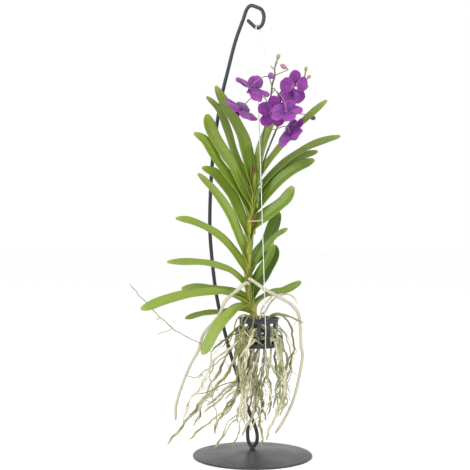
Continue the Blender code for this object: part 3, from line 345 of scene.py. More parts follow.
class Net:
    """A short way to place nodes in a material's or a group's tree and to join them."""

    def __init__(self, tree: Tree, effects: Effects | None = None) -> None:
        """Keeps the tree that nodes are added to and the shared groups that it may place."""
        self.tree = tree
        self.effects = effects

    def fill(self, socket: Socket, value: object) -> None:
        """Links another node's output to an input, or sets it to a number or a colour of three parts."""
        if isinstance(value, Socket):
            self.tree.links.new(value, socket)
        else:
            socket.default_value = (*value, 1.0) if socket.type == "RGBA" else value

    def node(self, kind: str, inputs: dict | None = None, **settings: object) -> bpy.types.Node:
        """Adds a node, sets its settings and fills or links its inputs.

        Args:
            kind: The node's type name.
            inputs: Input name or number to a value or to another node's output.
            **settings: Node properties by name.

        Returns:
            The node.
        """
        made = self.tree.nodes.new(kind)
        for name, setting in settings.items():
            setattr(made, name, setting)
        for key, value in (inputs or {}).items():
            self.fill(made.inputs[key], value)
        return made

    def values(self, *names: str) -> list[Socket]:
        """The piece's own per-point numbers of those names."""
        kind = "ShaderNodeAttribute"
        return [
            self.node(kind, attribute_name=name, attribute_type="GEOMETRY").outputs["Fac"] for name in names
        ]

    def math(self, way: str, *inputs: object) -> Socket:
        """One Math node's output."""
        return self.node("ShaderNodeMath", dict(enumerate(inputs)), operation=way).outputs[0]

    def times(self, first: object, second: object) -> Socket:
        """The product of two numbers."""
        return self.math("MULTIPLY", first, second)

    def plus(self, first: object, second: object) -> Socket:
        """The sum of two numbers."""
        return self.math("ADD", first, second)

    def remap(
        self, value: object, low: float, high: float, new_low: float = 0.0, new_high: float = 1.0
    ) -> Socket:
        """A value mapped smoothly from one range to another and held inside it."""
        inputs = {"Value": value, "From Min": low, "From Max": high, "To Min": new_low, "To Max": new_high}
        return self.node("ShaderNodeMapRange", inputs, interpolation_type="SMOOTHSTEP").outputs["Result"]

    def noise(
        self, scale: object, detail: float = 3.0, place: object = None, roughness: float = 0.55
    ) -> Socket:
        """A noise pattern's value over object coordinates or over the given place."""
        inputs = {"Vector": place or self.node("ShaderNodeTexCoord").outputs["Object"], "Scale": scale}
        return self.node(
            "ShaderNodeTexNoise", inputs | {"Detail": detail, "Roughness": roughness}
        ).outputs["Fac"]

    def mix(self, share: object, first: object, second: object) -> Socket:
        """Two colours mixed by a share."""
        return self.node("ShaderNodeMix", {0: share, 6: first, 7: second}, data_type="RGBA").outputs[2]

    def bump(self, height: object, strength: object, distance: object) -> Socket:
        """A bumped normal."""
        inputs = {"Strength": strength, "Distance": distance, "Height": height}
        return self.node("ShaderNodeBump", inputs).outputs["Normal"]

    def combine(self, x: object, y: object, z: object = 0.0) -> Socket:
        """A vector from three numbers."""
        return self.node("ShaderNodeCombineXYZ", {0: x, 1: y, 2: z}).outputs[0]

    def cloudy(self, tint: tuple, rough: tuple, grain: tuple) -> Look:
        """A pattern of cloudy patches with uneven gloss and fine grain, from the shared groups.

        Args:
            tint: The colour, the patches' colour, their fineness and how strongly they show.
            rough: Lowest and highest roughness.
            grain: The grain's fineness, strength and depth in metres.

        Returns:
            The colour, roughness and normal.
        """
        tint_inputs = dict(zip(("Colour", "Second", "Scale", "Amount"), tint))
        grain_inputs = dict(zip(("Scale", "Strength", "Depth"), grain))
        clouds = self.node("ShaderNodeGroup", tint_inputs, node_tree=self.effects.tint).outputs
        pits = self.node("ShaderNodeGroup", grain_inputs, node_tree=self.effects.pits).outputs
        return clouds["Colour"], self.remap(clouds["Mask"], 0, 1, *rough), pits["Normal"]


class Effects:
    """The two shader groups that several finishes share."""

    colour: ClassVar[str] = "NodeSocketColor"
    number: ClassVar[str] = "NodeSocketFloat"
    vector: ClassVar[str] = "NodeSocketVector"
    smoothness: ClassVar[float] = 0.5

    def __init__(self) -> None:
        """Builds both groups once."""
        self.tint = self.build_tint()
        self.pits = self.build_pits()

    @staticmethod
    def new_group(
        name: str, inputs: dict[str, str], outputs: dict[str, str]
    ) -> tuple[Net, dict[str, Socket]]:
        """An empty shader group with named sockets.

        Args:
            name: The group's name.
            inputs: Input name to kind of socket.
            outputs: Output name to kind of socket.

        Returns:
            A net on the group's tree, and the group's inputs by name.
        """
        tree = bpy.data.node_groups.new(name, "ShaderNodeTree")
        for side, sockets in (("INPUT", inputs), ("OUTPUT", outputs)):
            for label, kind in sockets.items():
                tree.interface.new_socket(label, in_out=side, socket_type=kind)
        net = Net(tree)
        return net, net.node("NodeGroupInput").outputs

    def build_tint(self) -> Tree:
        """Two sizes of soft cloudy patches that mix a colour with a second one.

        Returns:
            The group, with the inputs Colour, Second, Scale and Amount and the outputs Colour and Mask.
        """
        inputs = {"Colour": self.colour, "Second": self.colour, "Scale": self.number, "Amount": self.number}
        net, given = self.new_group("cloudy_tint", inputs, {"Colour": self.colour, "Mask": self.number})
        large = net.noise(given["Scale"], 2.0, roughness=self.smoothness)
        fine = net.noise(net.times(given["Scale"], 5.0), 4.0, roughness=self.smoothness)
        mask = net.remap(net.plus(net.times(large, 0.65), net.times(fine, 0.35)), 0.36, 0.66)
        mixed = net.mix(net.times(mask, given["Amount"]), given["Colour"], given["Second"])
        net.node("NodeGroupOutput", {"Colour": mixed, "Mask": mask})
        return net.tree

    def build_pits(self) -> Tree:
        """Fine grain as a normal, such as a powder coat's or a root's skin.

        Returns:
            The group, with the inputs Scale, Strength and Depth and the output Normal.
        """
        inputs = dict.fromkeys(("Scale", "Strength", "Depth"), self.number)
        net, given = self.new_group("fine_grain", inputs, {"Normal": self.vector})
        grain = net.noise(given["Scale"], 2.0, roughness=self.smoothness)
        net.node("NodeGroupOutput", {"Normal": net.bump(grain, given["Strength"], given["Depth"])})
        return net.tree


@dataclass(frozen=True)
class Finish:
    """A material: its name, its gloss, and the pattern of its colour, roughness and normal.

    Attributes:
        name: The material's name.
        specular: How strongly it reflects at its surface, 0.5 being an ordinary plastic.
        extras: Other inputs of the Principled BSDF that don't vary over the surface.
    """

    name: str
    specular: float
    extras: ClassVar[dict[str, float]] = {}

    def build(self, effects: Effects) -> Material:
        """Makes the material.

        Args:
            effects: The shared groups.

        Returns:
            The material, with the pattern joined to its Principled BSDF.
        """
        made = bpy.data.materials.new(self.name)
        made.use_nodes = True
        net = Net(made.node_tree, effects)
        pattern = zip(("Base Color", "Roughness", "Normal"), self.pattern(net))
        shader = made.node_tree.nodes["Principled BSDF"]
        for key, value in {"Specular IOR Level": self.specular, **self.extras, **dict(pattern)}.items():
            net.fill(shader.inputs[key], value)
        return made

    def pattern(self, net: Net) -> Look:
        """The colour, roughness and normal, which each kind of finish works out for itself."""
        raise NotImplementedError


@dataclass(frozen=True)
class MottledFinish(Finish):
    """A plain material with cloudy colour, uneven gloss and fine grain: coated steel, felt or plastic.

    Attributes:
        tint: Main colour, colour of the cloudy patches, their fineness and how strongly they show.
        rough: Lowest and highest roughness.
        grain: Fineness, strength and depth of the grain.
    """

    tint: tuple
    rough: tuple[float, float]
    grain: tuple[float, float, float]

    def pattern(self, net: Net) -> Look:
        """The cloudy pattern with the finish's own numbers."""
        return net.cloudy(self.tint, self.rough, self.grain)


@dataclass(frozen=True)
class MetalFinish(MottledFinish):
    """A bare metal with the mottled finish's pattern."""

    extras: ClassVar[dict[str, float]] = {"Metallic": 1.0}


@dataclass(frozen=True)
class LeafFinish(Finish):
    """Strap leaves: yellow-green to deep green, with lengthwise veins, a pale keel and small brown spots."""

    young: tuple = (0.245, 0.335, 0.026)
    shade: tuple = (0.090, 0.172, 0.018)
    yellow: tuple = (0.36, 0.36, 0.060)
    brown: tuple = (0.10, 0.055, 0.02)
    extras: ClassVar[dict[str, float]] = {"Coat Weight": 0.12, "Coat Roughness": 0.35}

    def pattern(self, net: Net) -> Look:
        """Works from the leaf's "along", "across", "tone" and "under" values.

        Args:
            net: The material's net.

        Returns:
            The colour, roughness and normal.
        """
        along, across, tone, under = net.values("along", "across", "tone", "under")
        flat = net.combine(net.times(across, 9.0), net.times(along, 1.6), net.times(tone, 7.0))
        streak = net.noise(6.0, 3.0, flat)
        main = net.mix(tone, self.young, self.shade)
        streaked = net.mix(net.remap(streak, 0.35, 0.7, 0.0, 0.5), main, self.shade)
        keel = net.remap(net.math("ABSOLUTE", across), 0.0, 0.16, 0.30, 0.0)
        pale = net.mix(net.math("MAXIMUM", keel, net.times(under, 0.30)), streaked, self.yellow)
        tip = net.remap(along, 0.93, 1.0, 0.0, 0.55)
        base = net.remap(along, 0.0, 0.20, 0.75, 0.0)
        aged = net.mix(net.math("MAXIMUM", tip, base), pale, self.yellow)
        spots = net.remap(net.noise(230.0, 1.0), 0.74, 0.80, 0.0, 0.8)
        veins = net.math("SINE", net.times(across, 60.0))
        height = net.plus(net.times(veins, 0.4), net.noise(90.0, 2.0))
        roughness = net.remap(streak, 0.3, 0.7, 0.34, 0.50)
        return net.mix(spots, aged, self.brown), roughness, net.bump(height, 0.35, 0.0004)


@dataclass(frozen=True)
class PetalFinish(Finish):
    """Tepals: violet-purple with a netted darker pattern, paler towards the claw and on the back, with
    painted shade on the back near the claw.
    """

    main: tuple = (0.165, 0.014, 0.215)
    bright: tuple = (0.330, 0.040, 0.360)
    dark: tuple = (0.055, 0.005, 0.100)
    claw: tuple = (0.62, 0.34, 0.62)
    extras: ClassVar[dict[str, float]] = {"Sheen Weight": 0.08, "Sheen Roughness": 0.4}

    def pattern(self, net: Net) -> Look:
        """Works from the tepal's "along", "across" and "under" values.

        Args:
            net: The material's net.

        Returns:
            The colour, roughness and normal.
        """
        along, across, under = net.values("along", "across", "under")
        fan = net.math("DIVIDE", across, net.plus(along, 0.35))
        inputs = {
            "Vector": net.combine(net.times(fan, 3.2), net.times(along, 5.0)), "Scale": 2.4, "Randomness": 0.8
        }
        cells = net.node("ShaderNodeTexVoronoi", inputs, feature="DISTANCE_TO_EDGE").outputs["Distance"]
        cloud = net.remap(net.noise(70.0, 2.0), 0.35, 0.65)
        ground = net.mix(cloud, self.main, self.bright)
        lined = net.mix(net.remap(cells, 0.0, 0.16, 0.75, 0.0), ground, self.dark)
        deep = net.mix(net.remap(along, 0.55, 1.0, 0.0, 0.35), lined, self.bright)
        front = net.remap(under, 0.0, 1.0, 1.0, 0.2)
        claw = net.mix(net.times(net.remap(along, 0.02, 0.20, 0.45, 0.0), front), deep, self.claw)
        # Painted shade: the back face is darkened towards the claw, where the flower's middle lies in shade.
        painted_centre_shade = net.times(net.remap(along, 0.05, 0.55, 0.65, 0.0), under)
        back = net.mix(painted_centre_shade, net.mix(net.times(under, 0.05), claw, self.claw), self.dark)
        ridges = net.math("SINE", net.times(fan, 26.0))
        height = net.plus(net.times(ridges, 0.35), net.noise(400.0, 2.0))
        return back, net.remap(cloud, 0, 1, 0.42, 0.58), net.bump(height, 0.35, 0.0003)


@dataclass(frozen=True)
class GradedFinish(Finish):
    """A stalk, bud, lip or column whose colour changes from its foot to its tip, with cloudy patches.

    Attributes:
        foot: Colour at the foot.
        middle: Colour halfway.
        tip: Colour at the tip.
        patch: Colour of the patches.
        turn: Share of the length where the middle colour lies.
        amount: How strongly the patches show.
        scale: Size of the patches, larger for finer ones.
        rough: Lowest and highest roughness.
        grain_depth: Depth of the grain in metres.
    """

    foot: tuple
    middle: tuple
    tip: tuple
    patch: tuple
    turn: float
    amount: float
    scale: float
    rough: tuple[float, float] = (0.4, 0.55)
    grain_depth: float = 0.0002

    def pattern(self, net: Net) -> Look:
        """Works from the piece's "along" value.

        Args:
            net: The material's net.

        Returns:
            The colour, roughness and normal.
        """
        (along,) = net.values("along")
        low = net.mix(net.remap(along, 0.0, self.turn), self.foot, self.middle)
        graded = net.mix(net.remap(along, self.turn, 1.0), low, self.tip)
        tint = (graded, self.patch, self.scale, self.amount)
        return net.cloudy(tint, self.rough, (700.0, 0.5, self.grain_depth))


@dataclass(frozen=True)
class RootFinish(Finish):
    """Aerial roots: silvery cream skin with olive patches and dark or green growing tips."""

    silver: tuple = (0.60, 0.57, 0.40)
    olive: tuple = (0.20, 0.215, 0.072)
    bark: tuple = (0.13, 0.11, 0.055)
    tip: tuple = (0.28, 0.34, 0.09)

    def pattern(self, net: Net) -> Look:
        """Works from the root's "along" and "tone" values, tone 0 being silvery and 1 olive.

        Args:
            net: The material's net.

        Returns:
            The colour, roughness and normal.
        """
        along, tone = net.values("along", "tone")
        coarse = net.noise(38.0, 3.0)
        wet = net.plus(tone, net.remap(coarse, 0.35, 0.68, -0.30, 0.35))
        ground = net.mix(net.remap(wet, 0.05, 0.95), self.silver, self.olive)
        marked = net.mix(net.remap(net.noise(420.0, 2.0), 0.55, 0.72, 0.0, 0.45), ground, self.bark)
        tipped = net.mix(net.remap(along, 0.955, 0.99, 0.0, 0.7), marked, self.tip)
        height = net.plus(net.noise(300.0, 3.0), net.times(coarse, 1.5))
        return tipped, net.remap(coarse, 0.3, 0.7, 0.62, 0.85), net.bump(height, 0.5, 0.0006)


class Metal(Enum):
    """The metal, felt and plastic finishes: gloss, tint, roughness and grain."""

    BLACK_COAT = MottledFinish(
        "black_powder_coat", 0.55, ((0.014, 0.015, 0.019), (0.024, 0.025, 0.031), 24, 0.6), (0.30, 0.42),
        (1500, 0.5, 0.00012)
    )
    BASE_COAT = MottledFinish(
        "base_powder_coat", 0.6, ((0.022, 0.022, 0.025), (0.033, 0.033, 0.037), 14, 0.6), (0.33, 0.44),
        (1700, 0.5, 0.00008)
    )
    FELT = MottledFinish(
        "black_felt", 0.5, ((0.02, 0.02, 0.02), (0.05, 0.05, 0.05), 120, 0.7), (0.9, 1.0), (1100, 0.5, 0.0008)
    )
    ZINC = MetalFinish(
        "zinc_wire", 0.5, ((0.78, 0.80, 0.82), (0.52, 0.54, 0.56), 300, 0.6), (0.28, 0.48),
        (1200, 0.5, 0.0001)
    )
    BLACK_PLASTIC = MottledFinish(
        "black_plastic", 0.5, ((0.013, 0.015, 0.024), (0.040, 0.043, 0.055), 60, 0.7), (0.32, 0.6),
        (700, 0.5, 0.0002)
    )


class Plant(Enum):
    """The finishes of the living parts: gloss, colours from foot to tip, and the patches."""

    LEAF = LeafFinish("strap_leaf", 0.5)
    PETAL = PetalFinish("violet_tepal", 0.35)
    LIP = GradedFinish(
        "dark_lip", 0.5, (0.26, 0.05, 0.34), (0.20, 0.02, 0.30), (0.26, 0.03, 0.36), (0.08, 0.005, 0.14),
        0.35, 0.6, 260
    )
    COLUMN = GradedFinish(
        "pale_column", 0.5, (0.62, 0.30, 0.62), (0.85, 0.66, 0.80), (0.92, 0.86, 0.84), (0.70, 0.45, 0.60),
        0.5, 0.4, 300
    )
    STALK = GradedFinish(
        "flower_stalk", 0.4, (0.17, 0.25, 0.04), (0.16, 0.16, 0.06), (0.24, 0.20, 0.09),
        (0.10, 0.045, 0.07), 0.6, 0.65, 90
    )
    OWN_STALK = GradedFinish(
        "flower_side_stalk", 0.4, (0.22, 0.24, 0.07), (0.30, 0.18, 0.17), (0.38, 0.13, 0.40),
        (0.20, 0.10, 0.10), 0.6, 0.45, 160
    )
    GREEN_BUD = GradedFinish(
        "green_bud", 0.4, (0.28, 0.32, 0.10), (0.34, 0.36, 0.15), (0.30, 0.24, 0.15), (0.20, 0.17, 0.10),
        0.5, 0.5, 240
    )
    ROSE_BUD = GradedFinish(
        "rose_bud", 0.4, (0.36, 0.32, 0.18), (0.46, 0.22, 0.30), (0.30, 0.12, 0.22), (0.34, 0.20, 0.18),
        0.5, 0.5, 240
    )
    VIOLET_BUD = GradedFinish(
        "violet_bud", 0.45, (0.30, 0.14, 0.36), (0.34, 0.09, 0.44), (0.24, 0.05, 0.34), (0.16, 0.03, 0.22),
        0.5, 0.5, 220
    )
    DARK_BUD = GradedFinish(
        "dark_bud", 0.45, (0.14, 0.10, 0.12), (0.07, 0.03, 0.10), (0.05, 0.02, 0.08), (0.14, 0.06, 0.16),
        0.5, 0.5, 220
    )
    STEM = GradedFinish(
        "stem_sheath", 0.35, (0.44, 0.32, 0.09), (0.47, 0.46, 0.075), (0.32, 0.39, 0.05), (0.28, 0.17, 0.045),
        0.35, 0.60, 85, (0.45, 0.65), 0.0005,
    )
    HUSK = GradedFinish(
        "dry_husk", 0.3, (0.28, 0.10, 0.035), (0.20, 0.065, 0.025), (0.34, 0.18, 0.07), (0.08, 0.03, 0.015),
        0.5, 0.8, 160, (0.5, 0.7), 0.0005,
    )
    STRAW = GradedFinish(
        "straw_tie", 0.3, (0.62, 0.55, 0.28), (0.66, 0.60, 0.34), (0.60, 0.52, 0.26), (0.42, 0.36, 0.16),
        0.5, 0.5, 300, (0.5, 0.7),
    )
    ROOT = RootFinish("aerial_root", 0.3)
    CREAM_ROOT = RootFinish(
        "cream_root", 0.3, (0.50, 0.47, 0.36), (0.36, 0.34, 0.21), (0.24, 0.18, 0.11), (0.30, 0.27, 0.15)
    )
    CROWN = MottledFinish(
        "root_crown", 0.2, ((0.085, 0.075, 0.030), (0.030, 0.024, 0.012), 90, 0.9), (0.75, 0.95),
        (260, 0.5, 0.0012)
    )


class Finishes:
    """All materials by their finish, each made when it is first asked for."""

    def __init__(self) -> None:
        """Starts with the shared groups and no materials."""
        self.effects = Effects()
        self.made: dict[Enum, Material] = {}

    def of(self, choice: Enum) -> Material:
        """The material of a finish.

        Args:
            choice: The finish.

        Returns:
            Its material.
        """
        if choice not in self.made:
            self.made[choice] = choice.value.build(self.effects)
        return self.made[choice]


def dress_node(frame: dict, node: str, material: Material) -> None:
    """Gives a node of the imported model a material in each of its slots.

    Args:
        frame: The loaded model.
        node: The node's name.
        material: The finish.
    """
    shown = frame["nodes"][node]
    if not shown.material_slots:
        shown.data.materials.append(material)
    for own in shown.material_slots:
        own.material = material


@dataclass
class Stand:
    """The domed base, its felt and screw, and the bent rod with its foot loop and hook."""

    base_radius: float = 0.1125
    rise: float = 0.013
    sheet: float = 0.0016
    rim: float = 0.003
    roll: float = 0.0012
    hole: float = 0.0030
    lift: float = 0.0008
    rod_radius: float = 0.0035
    turn: float = math.radians(16)
    route: tuple = mm(
        (-8, 823.5), (-1.5, 817), (4.5, 811.5), (11.5, 809), (19, 815), (22.5, 829), (18.5, 842), (8, 848.5),
        (-3, 852), (-11, 845.5), (-18, 827), (-33.5, 786), (-49, 729), (-60, 685), (-71, 625), (-80, 550),
        (-84.5, 455), (-81.5, 386), (-69, 292), (-44, 195), (-25.5, 140), (-11, 94), (3.5, 61), (9, 42),
        (8, 27), (0, 18.5), (-7.5, 27), (-9.5, 42), (-8.5, 56),
    )

    @property
    def crown(self) -> float:
        """Height of the dome's top."""
        return self.lift + self.rise

    def place(self, along: float, height: float) -> np.ndarray:
        """A point of the stand's own upright plane."""
        return np.array((along * math.cos(self.turn), -along * math.sin(self.turn), height))

    def height(self, radius: np.ndarray) -> np.ndarray:
        """The dome's upper side: its height falls with the square of the radius."""
        return self.crown - (self.rise - self.rim) * (radius / self.base_radius) ** 2

    def dome(self) -> Surface:
        """The pressed dome: the upper side, a small rolled rim of quarter circles, and the same side below.

        Returns:
            The closed sheet.
        """
        radius = np.linspace(self.hole, self.base_radius - self.roll, 26)
        turn = np.linspace(0, math.pi * 0.5, 5)[1:]
        rolled = (
            radius[-1] + self.roll * np.sin(turn), self.height(radius[-1]) - self.roll * (1 - np.cos(turn))
        )
        edge = self.base_radius - self.sheet
        low = [
            (self.base_radius, self.lift + 0.0004), (self.base_radius - 0.0004, self.lift), (edge, self.lift)
        ]
        inner = np.minimum(radius[::-1], edge)
        sides = (radius, self.height(radius)), rolled, np.transpose(low), (
            inner, self.height(inner) - self.sheet
        )
        return revolved(np.vstack([np.stack(side, -1) for side in sides]), 144)

    def collar(self) -> Surface:
        """The short weld collar between the rod's foot loop and the dome: a turned profile.

        Returns:
            The closed ring.
        """
        top, foot = self.crown + 0.0085, self.crown + GAP
        outer = mm((1, 0), (4, -0.1), (5, -0.8), (5.3, -2), (5, -5)) + np.array((0, top))
        inner = mm((5.3, 1.2), (5.6, 0.4), (5.6, 0), (2.8, 0), (2.8, 4.6), (1, 4.6)) + np.array((0, foot))
        return revolved(np.vstack([outer, inner]), 40)

    def rod(self) -> Surface:
        """The bent bar from its free hook end to the end of its foot loop."""
        path = smooth_path([self.place(*point) for point in self.route], 0.0022)
        return tube(path, self.rod_radius, 24)

    def build(self, frame: dict, finishes: Finishes) -> None:
        """Makes the pieces of the stand.

        Args:
            frame: The loaded model.
            finishes: The materials.
        """
        dome = self.dome().to_object("domed_base", finishes.of(Metal.BASE_COAT), "black_steel")
        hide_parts("stand_base")
        bar = Surface.joined([self.rod(), self.collar()])
        rod = bar.to_object("bent_rod", finishes.of(Metal.BLACK_COAT), "black_steel")
        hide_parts("stand_rod")
        dress_node(frame, "base_felt", finishes.of(Metal.FELT))
        dress_node(frame, "base_screw", finishes.of(Metal.ZINC))


@dataclass
class Basket:
    """The small slatted basket of moulded plastic."""

    centre: tuple[float, float] = (0.012, 0.004)
    top: float = 0.262
    height: float = 0.056
    radius: float = 0.037
    taper: float = 0.003
    wall: float = 0.0020
    lip: float = 0.0018
    band: float = 0.010
    slots: int = 12
    slot_width: float = 0.0120
    slot_foot: float = 0.0075
    slot_steps: int = 4
    slat_steps: int = 6
    pitch: float = 0.0115
    floor_slot: float = 0.0080
    floor_reach: float = 0.0270
    floor_half: float = 0.0010

    @property
    def floor(self) -> float:
        """Height of the basket's underside."""
        return self.top - self.height

    def wall_shell(self) -> Surface:
        """The side wall as an open sheet on a grid of angles and heights, with the slots left out.

        The radius grows evenly from the floor to the rim. Within a slot the sheet's faces are missing.

        Returns:
            The middle sheet of the wall, which gets its thickness from a modifier.
        """
        pitch = 2 * math.pi / self.slots
        half = self.slot_width / 2 / self.radius
        inside = np.linspace(-half, half, self.slot_steps + 1)
        one = np.concatenate([inside, np.linspace(half, pitch - half, self.slat_steps + 1)[1:-1]])
        angle = (np.arange(self.slots)[:, None] * pitch + pitch / 2 + one[None, :]).reshape(-1)
        low, high = self.floor + self.slot_foot, self.top - self.band
        below, above = [self.floor, self.floor + 0.003], [self.top - 0.0045, self.top]
        heights = np.array([*below, low, low + 0.0015, (low + high) / 2, high - 0.0015, high, *above])
        around, level = np.meshgrid(angle, heights, indexing="ij")
        radius = self.radius - self.wall / 2 - self.taper * (self.top - level) / self.height
        points = round_z(radius, around, level) + (*self.centre, 0)
        count, levels = around.shape
        column = np.arange(count)[:, None]
        row = np.arange(levels - 1)[None, :]
        here, beside = column * levels + row, (column + 1) % count * levels + row
        quads = np.stack([here, beside, beside + 1, here + 1], -1)
        slot_low, slot_high = np.searchsorted(heights, (low, high))
        in_slot = (column % len(one) < self.slot_steps) & (row >= slot_low) & (row < slot_high)
        keep = quads[~np.broadcast_to(in_slot, quads.shape[:2])]
        return Surface(
            points.reshape(-1, 3), [tuple(quad) for quad in keep.tolist()], {"along": level.reshape(-1)}
        )

    def rims(self) -> Surface:
        """The rolled lip round the basket's mouth and the foot ring round its floor, as turned profiles.

        Returns:
            Both closed rings.
        """
        outer, inner, foot = self.radius + self.lip, self.radius - self.wall, self.radius - self.taper
        top, low, reach = self.top, self.floor, self.floor_reach
        lip = [(inner, top - 0.0002), (inner + 0.0004, top), (outer - 0.0006, top), (outer, top - 0.0006)]
        lip += [(outer, top - 0.0020), (outer - 0.0006, top - 0.0026), (self.radius - 0.0002, top - 0.0034)]
        lip += [(inner, top - 0.0034)]
        ring = [(reach, low + 0.0020), (foot - 0.0004, low + 0.0024), (foot, low + 0.0020)]
        ring += [(foot, low + 0.0005), (foot - 0.0005, low), (reach, low)]
        place = (*self.centre, 0.0)
        return Surface.joined([revolved(lip, 96, place), revolved(ring, 96, place)])

    def floor_bars(self) -> Surface:
        """The parallel bars of the floor, each a rounded rectangle carried from side to side of the floor.

        Returns:
            The joined closed bars.
        """
        bars, steps = [], 9
        wide = (self.pitch - self.floor_slot) / 2
        corner = np.array(
            [(-1, -0.6), (-0.8, -1), (0.8, -1), (1, -0.6), (1, 0.6), (0.8, 1), (-0.8, 1), (-1, 0.6)]
        )
        upright = self.floor + self.floor_half + corner[:, 1] * self.floor_half
        for index in (-1.5, -0.5, 0.5, 1.5):
            x = self.centre[0] + index * self.pitch
            reach = math.sqrt((self.floor_reach + 0.002) ** 2 - (index * self.pitch) ** 2)
            y = (np.linspace(-reach, reach, steps) + self.centre[1])[:, None]
            rings = np.stack(np.broadcast_arrays(x + corner[:, 0] * wide, y, upright), -1)
            bars.append(
                closed_loft(rings[:, ::-1], {"along": np.linspace(0, 1, steps)[:, None] + np.zeros(8)})
            )
        return Surface.joined(bars)

    def build(self, finishes: Finishes) -> None:
        """Makes the basket's pieces.

        Args:
            finishes: The materials.
        """
        material = finishes.of(Metal.BLACK_PLASTIC)
        wall = self.wall_shell().to_object("basket_wall", material, "black_plastic")
        solid = wall.modifiers.new("thickness", "SOLIDIFY")
        solid.thickness = self.wall
        solid.offset = 0
        bevel = wall.modifiers.new("soft_edges", "BEVEL")
        bevel.width = 0.0004
        bevel.segments = 2
        bevel.limit_method = "ANGLE"
        bevel.angle_limit = math.radians(50)
        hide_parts("basket")
        self.rims().to_object("basket_rims", material, "black_plastic")
        self.floor_bars().to_object("basket_floor_bars", material, "black_plastic")


@dataclass
class Hanger:
    """The stiff zinc wire over the hook, its twist of spare wire, and the straw tie of the stem."""

    stand: Stand
    basket: Basket
    radius: float = 0.0009
    tie_radius: float = 0.0008
    hang: tuple[float, float] = (0.0100, 0.8093)
    twist_height: float = 0.523
    twist_turns: int = 3
    twist_pitch: float = 0.0026
    tie_height: float = 0.4450

    @property
    def seat(self) -> float:
        """Distance between the rod's and the wire's middle lines where the wire rests on the rod."""
        return self.stand.rod_radius + GAP + self.radius

    @property
    def saddle(self) -> np.ndarray:
        """The rod's middle where the wire rests on it."""
        return self.stand.place(*self.hang)

    def run(self) -> np.ndarray:
        """The straight part of the middle line, from beside the rod down the front of the basket.

        Returns:
            Points about 8 mm apart.
        """
        basket = self.basket
        x = basket.centre[0] + basket.pitch
        y = basket.centre[1] - basket.radius - basket.lip - GAP * 1.8 - self.radius
        start = self.saddle + (-0.0025, -self.seat * 1.05, -0.0120)
        front = [
            (x - 0.0010, y, basket.top + 0.020), (x, y, basket.top - 0.020),
            (x, y + 0.0008, basket.floor + 0.004)
        ]
        return smooth_path([start, *front], 0.008)

    def line(self) -> np.ndarray:
        """The whole middle line: loose tail, saddle over the rod, straight run and hook under the basket.

        Returns:
            Points about 1.6 mm apart.
        """
        saddle, seat, floor = self.saddle, self.seat, self.basket.floor
        loose = saddle + mm((15.5, 3.5, -48), (9.5, 5.2, -20))
        tail = [*loose, saddle + (0.0052, seat * 1.02, -0.0010)]
        over = saddle + [
            (0.0036, seat * 0.78, seat * 0.75),
            (0.0010, 0, seat * 1.06),
            (-0.0020, -seat * 0.78, seat * 0.75),
            (-0.0030, -seat * 1.02, -0.0010),
        ]
        run = self.run()
        under = floor - GAP - self.radius
        hook = [
            *(mm((1.2, 0.5), (4.2, -0.2), (9.7, -0.2), (15.8, -0.1)) + np.array((0, under))),
            *(mm((17.8, 2), (18.2, 8)) + np.array((0, floor))),
        ]
        hook = [(run[-1][0], run[-1][1] + deep, height) for deep, height in hook]
        bends = smooth_path([tail[-1], *over], 0.0009), run, smooth_path([run[-1], *hook], 0.001)[1:]
        return smooth_path(np.vstack([smooth_path(tail, 0.004)[:-1], *bends]), 0.0016)

    def on_wire(self, height: float) -> np.ndarray:
        """The wire's middle at a height."""
        return at_height(self.run()[::-1], height)

    def twist(self) -> Surface:
        """The spare wire wound round the main one: a helix of three turns with two free ends.

        Returns:
            The closed tube.
        """
        step = np.linspace(0, self.twist_turns, 55)
        centre = self.on_wire(self.twist_height)
        reach = self.radius * 1.9 + GAP
        drop = self.twist_pitch * step
        around = round_z(reach, 2 * math.pi * step, -drop)
        lean = (self.on_wire(0.500) - centre) / (self.twist_height - 0.500)
        coil = centre + around + lean * drop[:, None] * np.array((1, 1, 0))
        ends = coil[0] + mm((6.2, 0.6, 12), (2.2, 1.6, 5))
        feet = coil[-1] + mm((-0.6, -2.2, -3), (-6.2, -3, -10))
        return tube(smooth_path(np.vstack([ends, coil, feet]), 0.0007), self.radius * 0.9, 10, UP)

    def tie(self) -> Surface:
        """The straw tie: one loop round the wire, a slow helix, and a free lead to the stem.

        Returns:
            The closed tube.
        """
        middle = self.on_wire(self.tie_height)
        reach = self.radius + self.tie_radius + GAP
        step = np.linspace(0, 8, 33)
        angle = np.radians(130 - 37 * step)
        ring = middle + round_z(reach, angle, 0.0003 * step)
        lead = middle + mm((-25, 6, -1.2), (-12, 4, -0.8))
        return tube(smooth_path(np.vstack([lead, ring]), 0.0008), self.tie_radius, 8, UP)

    def build(self, finishes: Finishes) -> None:
        """Makes the wire, its twist and the tie.

        Args:
            finishes: The materials.
        """
        zinc = finishes.of(Metal.ZINC)
        wire = tube(self.line(), self.radius, 12, RIGHT).to_object("hanger_steel_wire", zinc, "zinc")
        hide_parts("hanger_wire")
        twist = self.twist().to_object("wire_spare_twist", zinc, "zinc")
        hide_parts("wire_twist")
        tie = self.tie().to_object("straw_stem_tie", finishes.of(Plant.STRAW), "straw_tie")
        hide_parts("stem_tie")


@dataclass(frozen=True)
class Leaf:
    """One strap leaf.

    Attributes:
        side: -1 for the left rank and 1 for the right.
        path: Its keel as (along X, height), from the stem to the tip.
        far: Depth of its tip.
        width: Its widest, in metres.
        turn: Its roll towards the viewer, in degrees.
        tone: 0 for a young yellow-green leaf and 1 for a deep green one.
        skew: How slanted its tip is, from -1 to 1.
    """

    side: int
    path: tuple
    far: float
    width: float
    turn: float
    tone: float = 0.3
    skew: float = 0.4


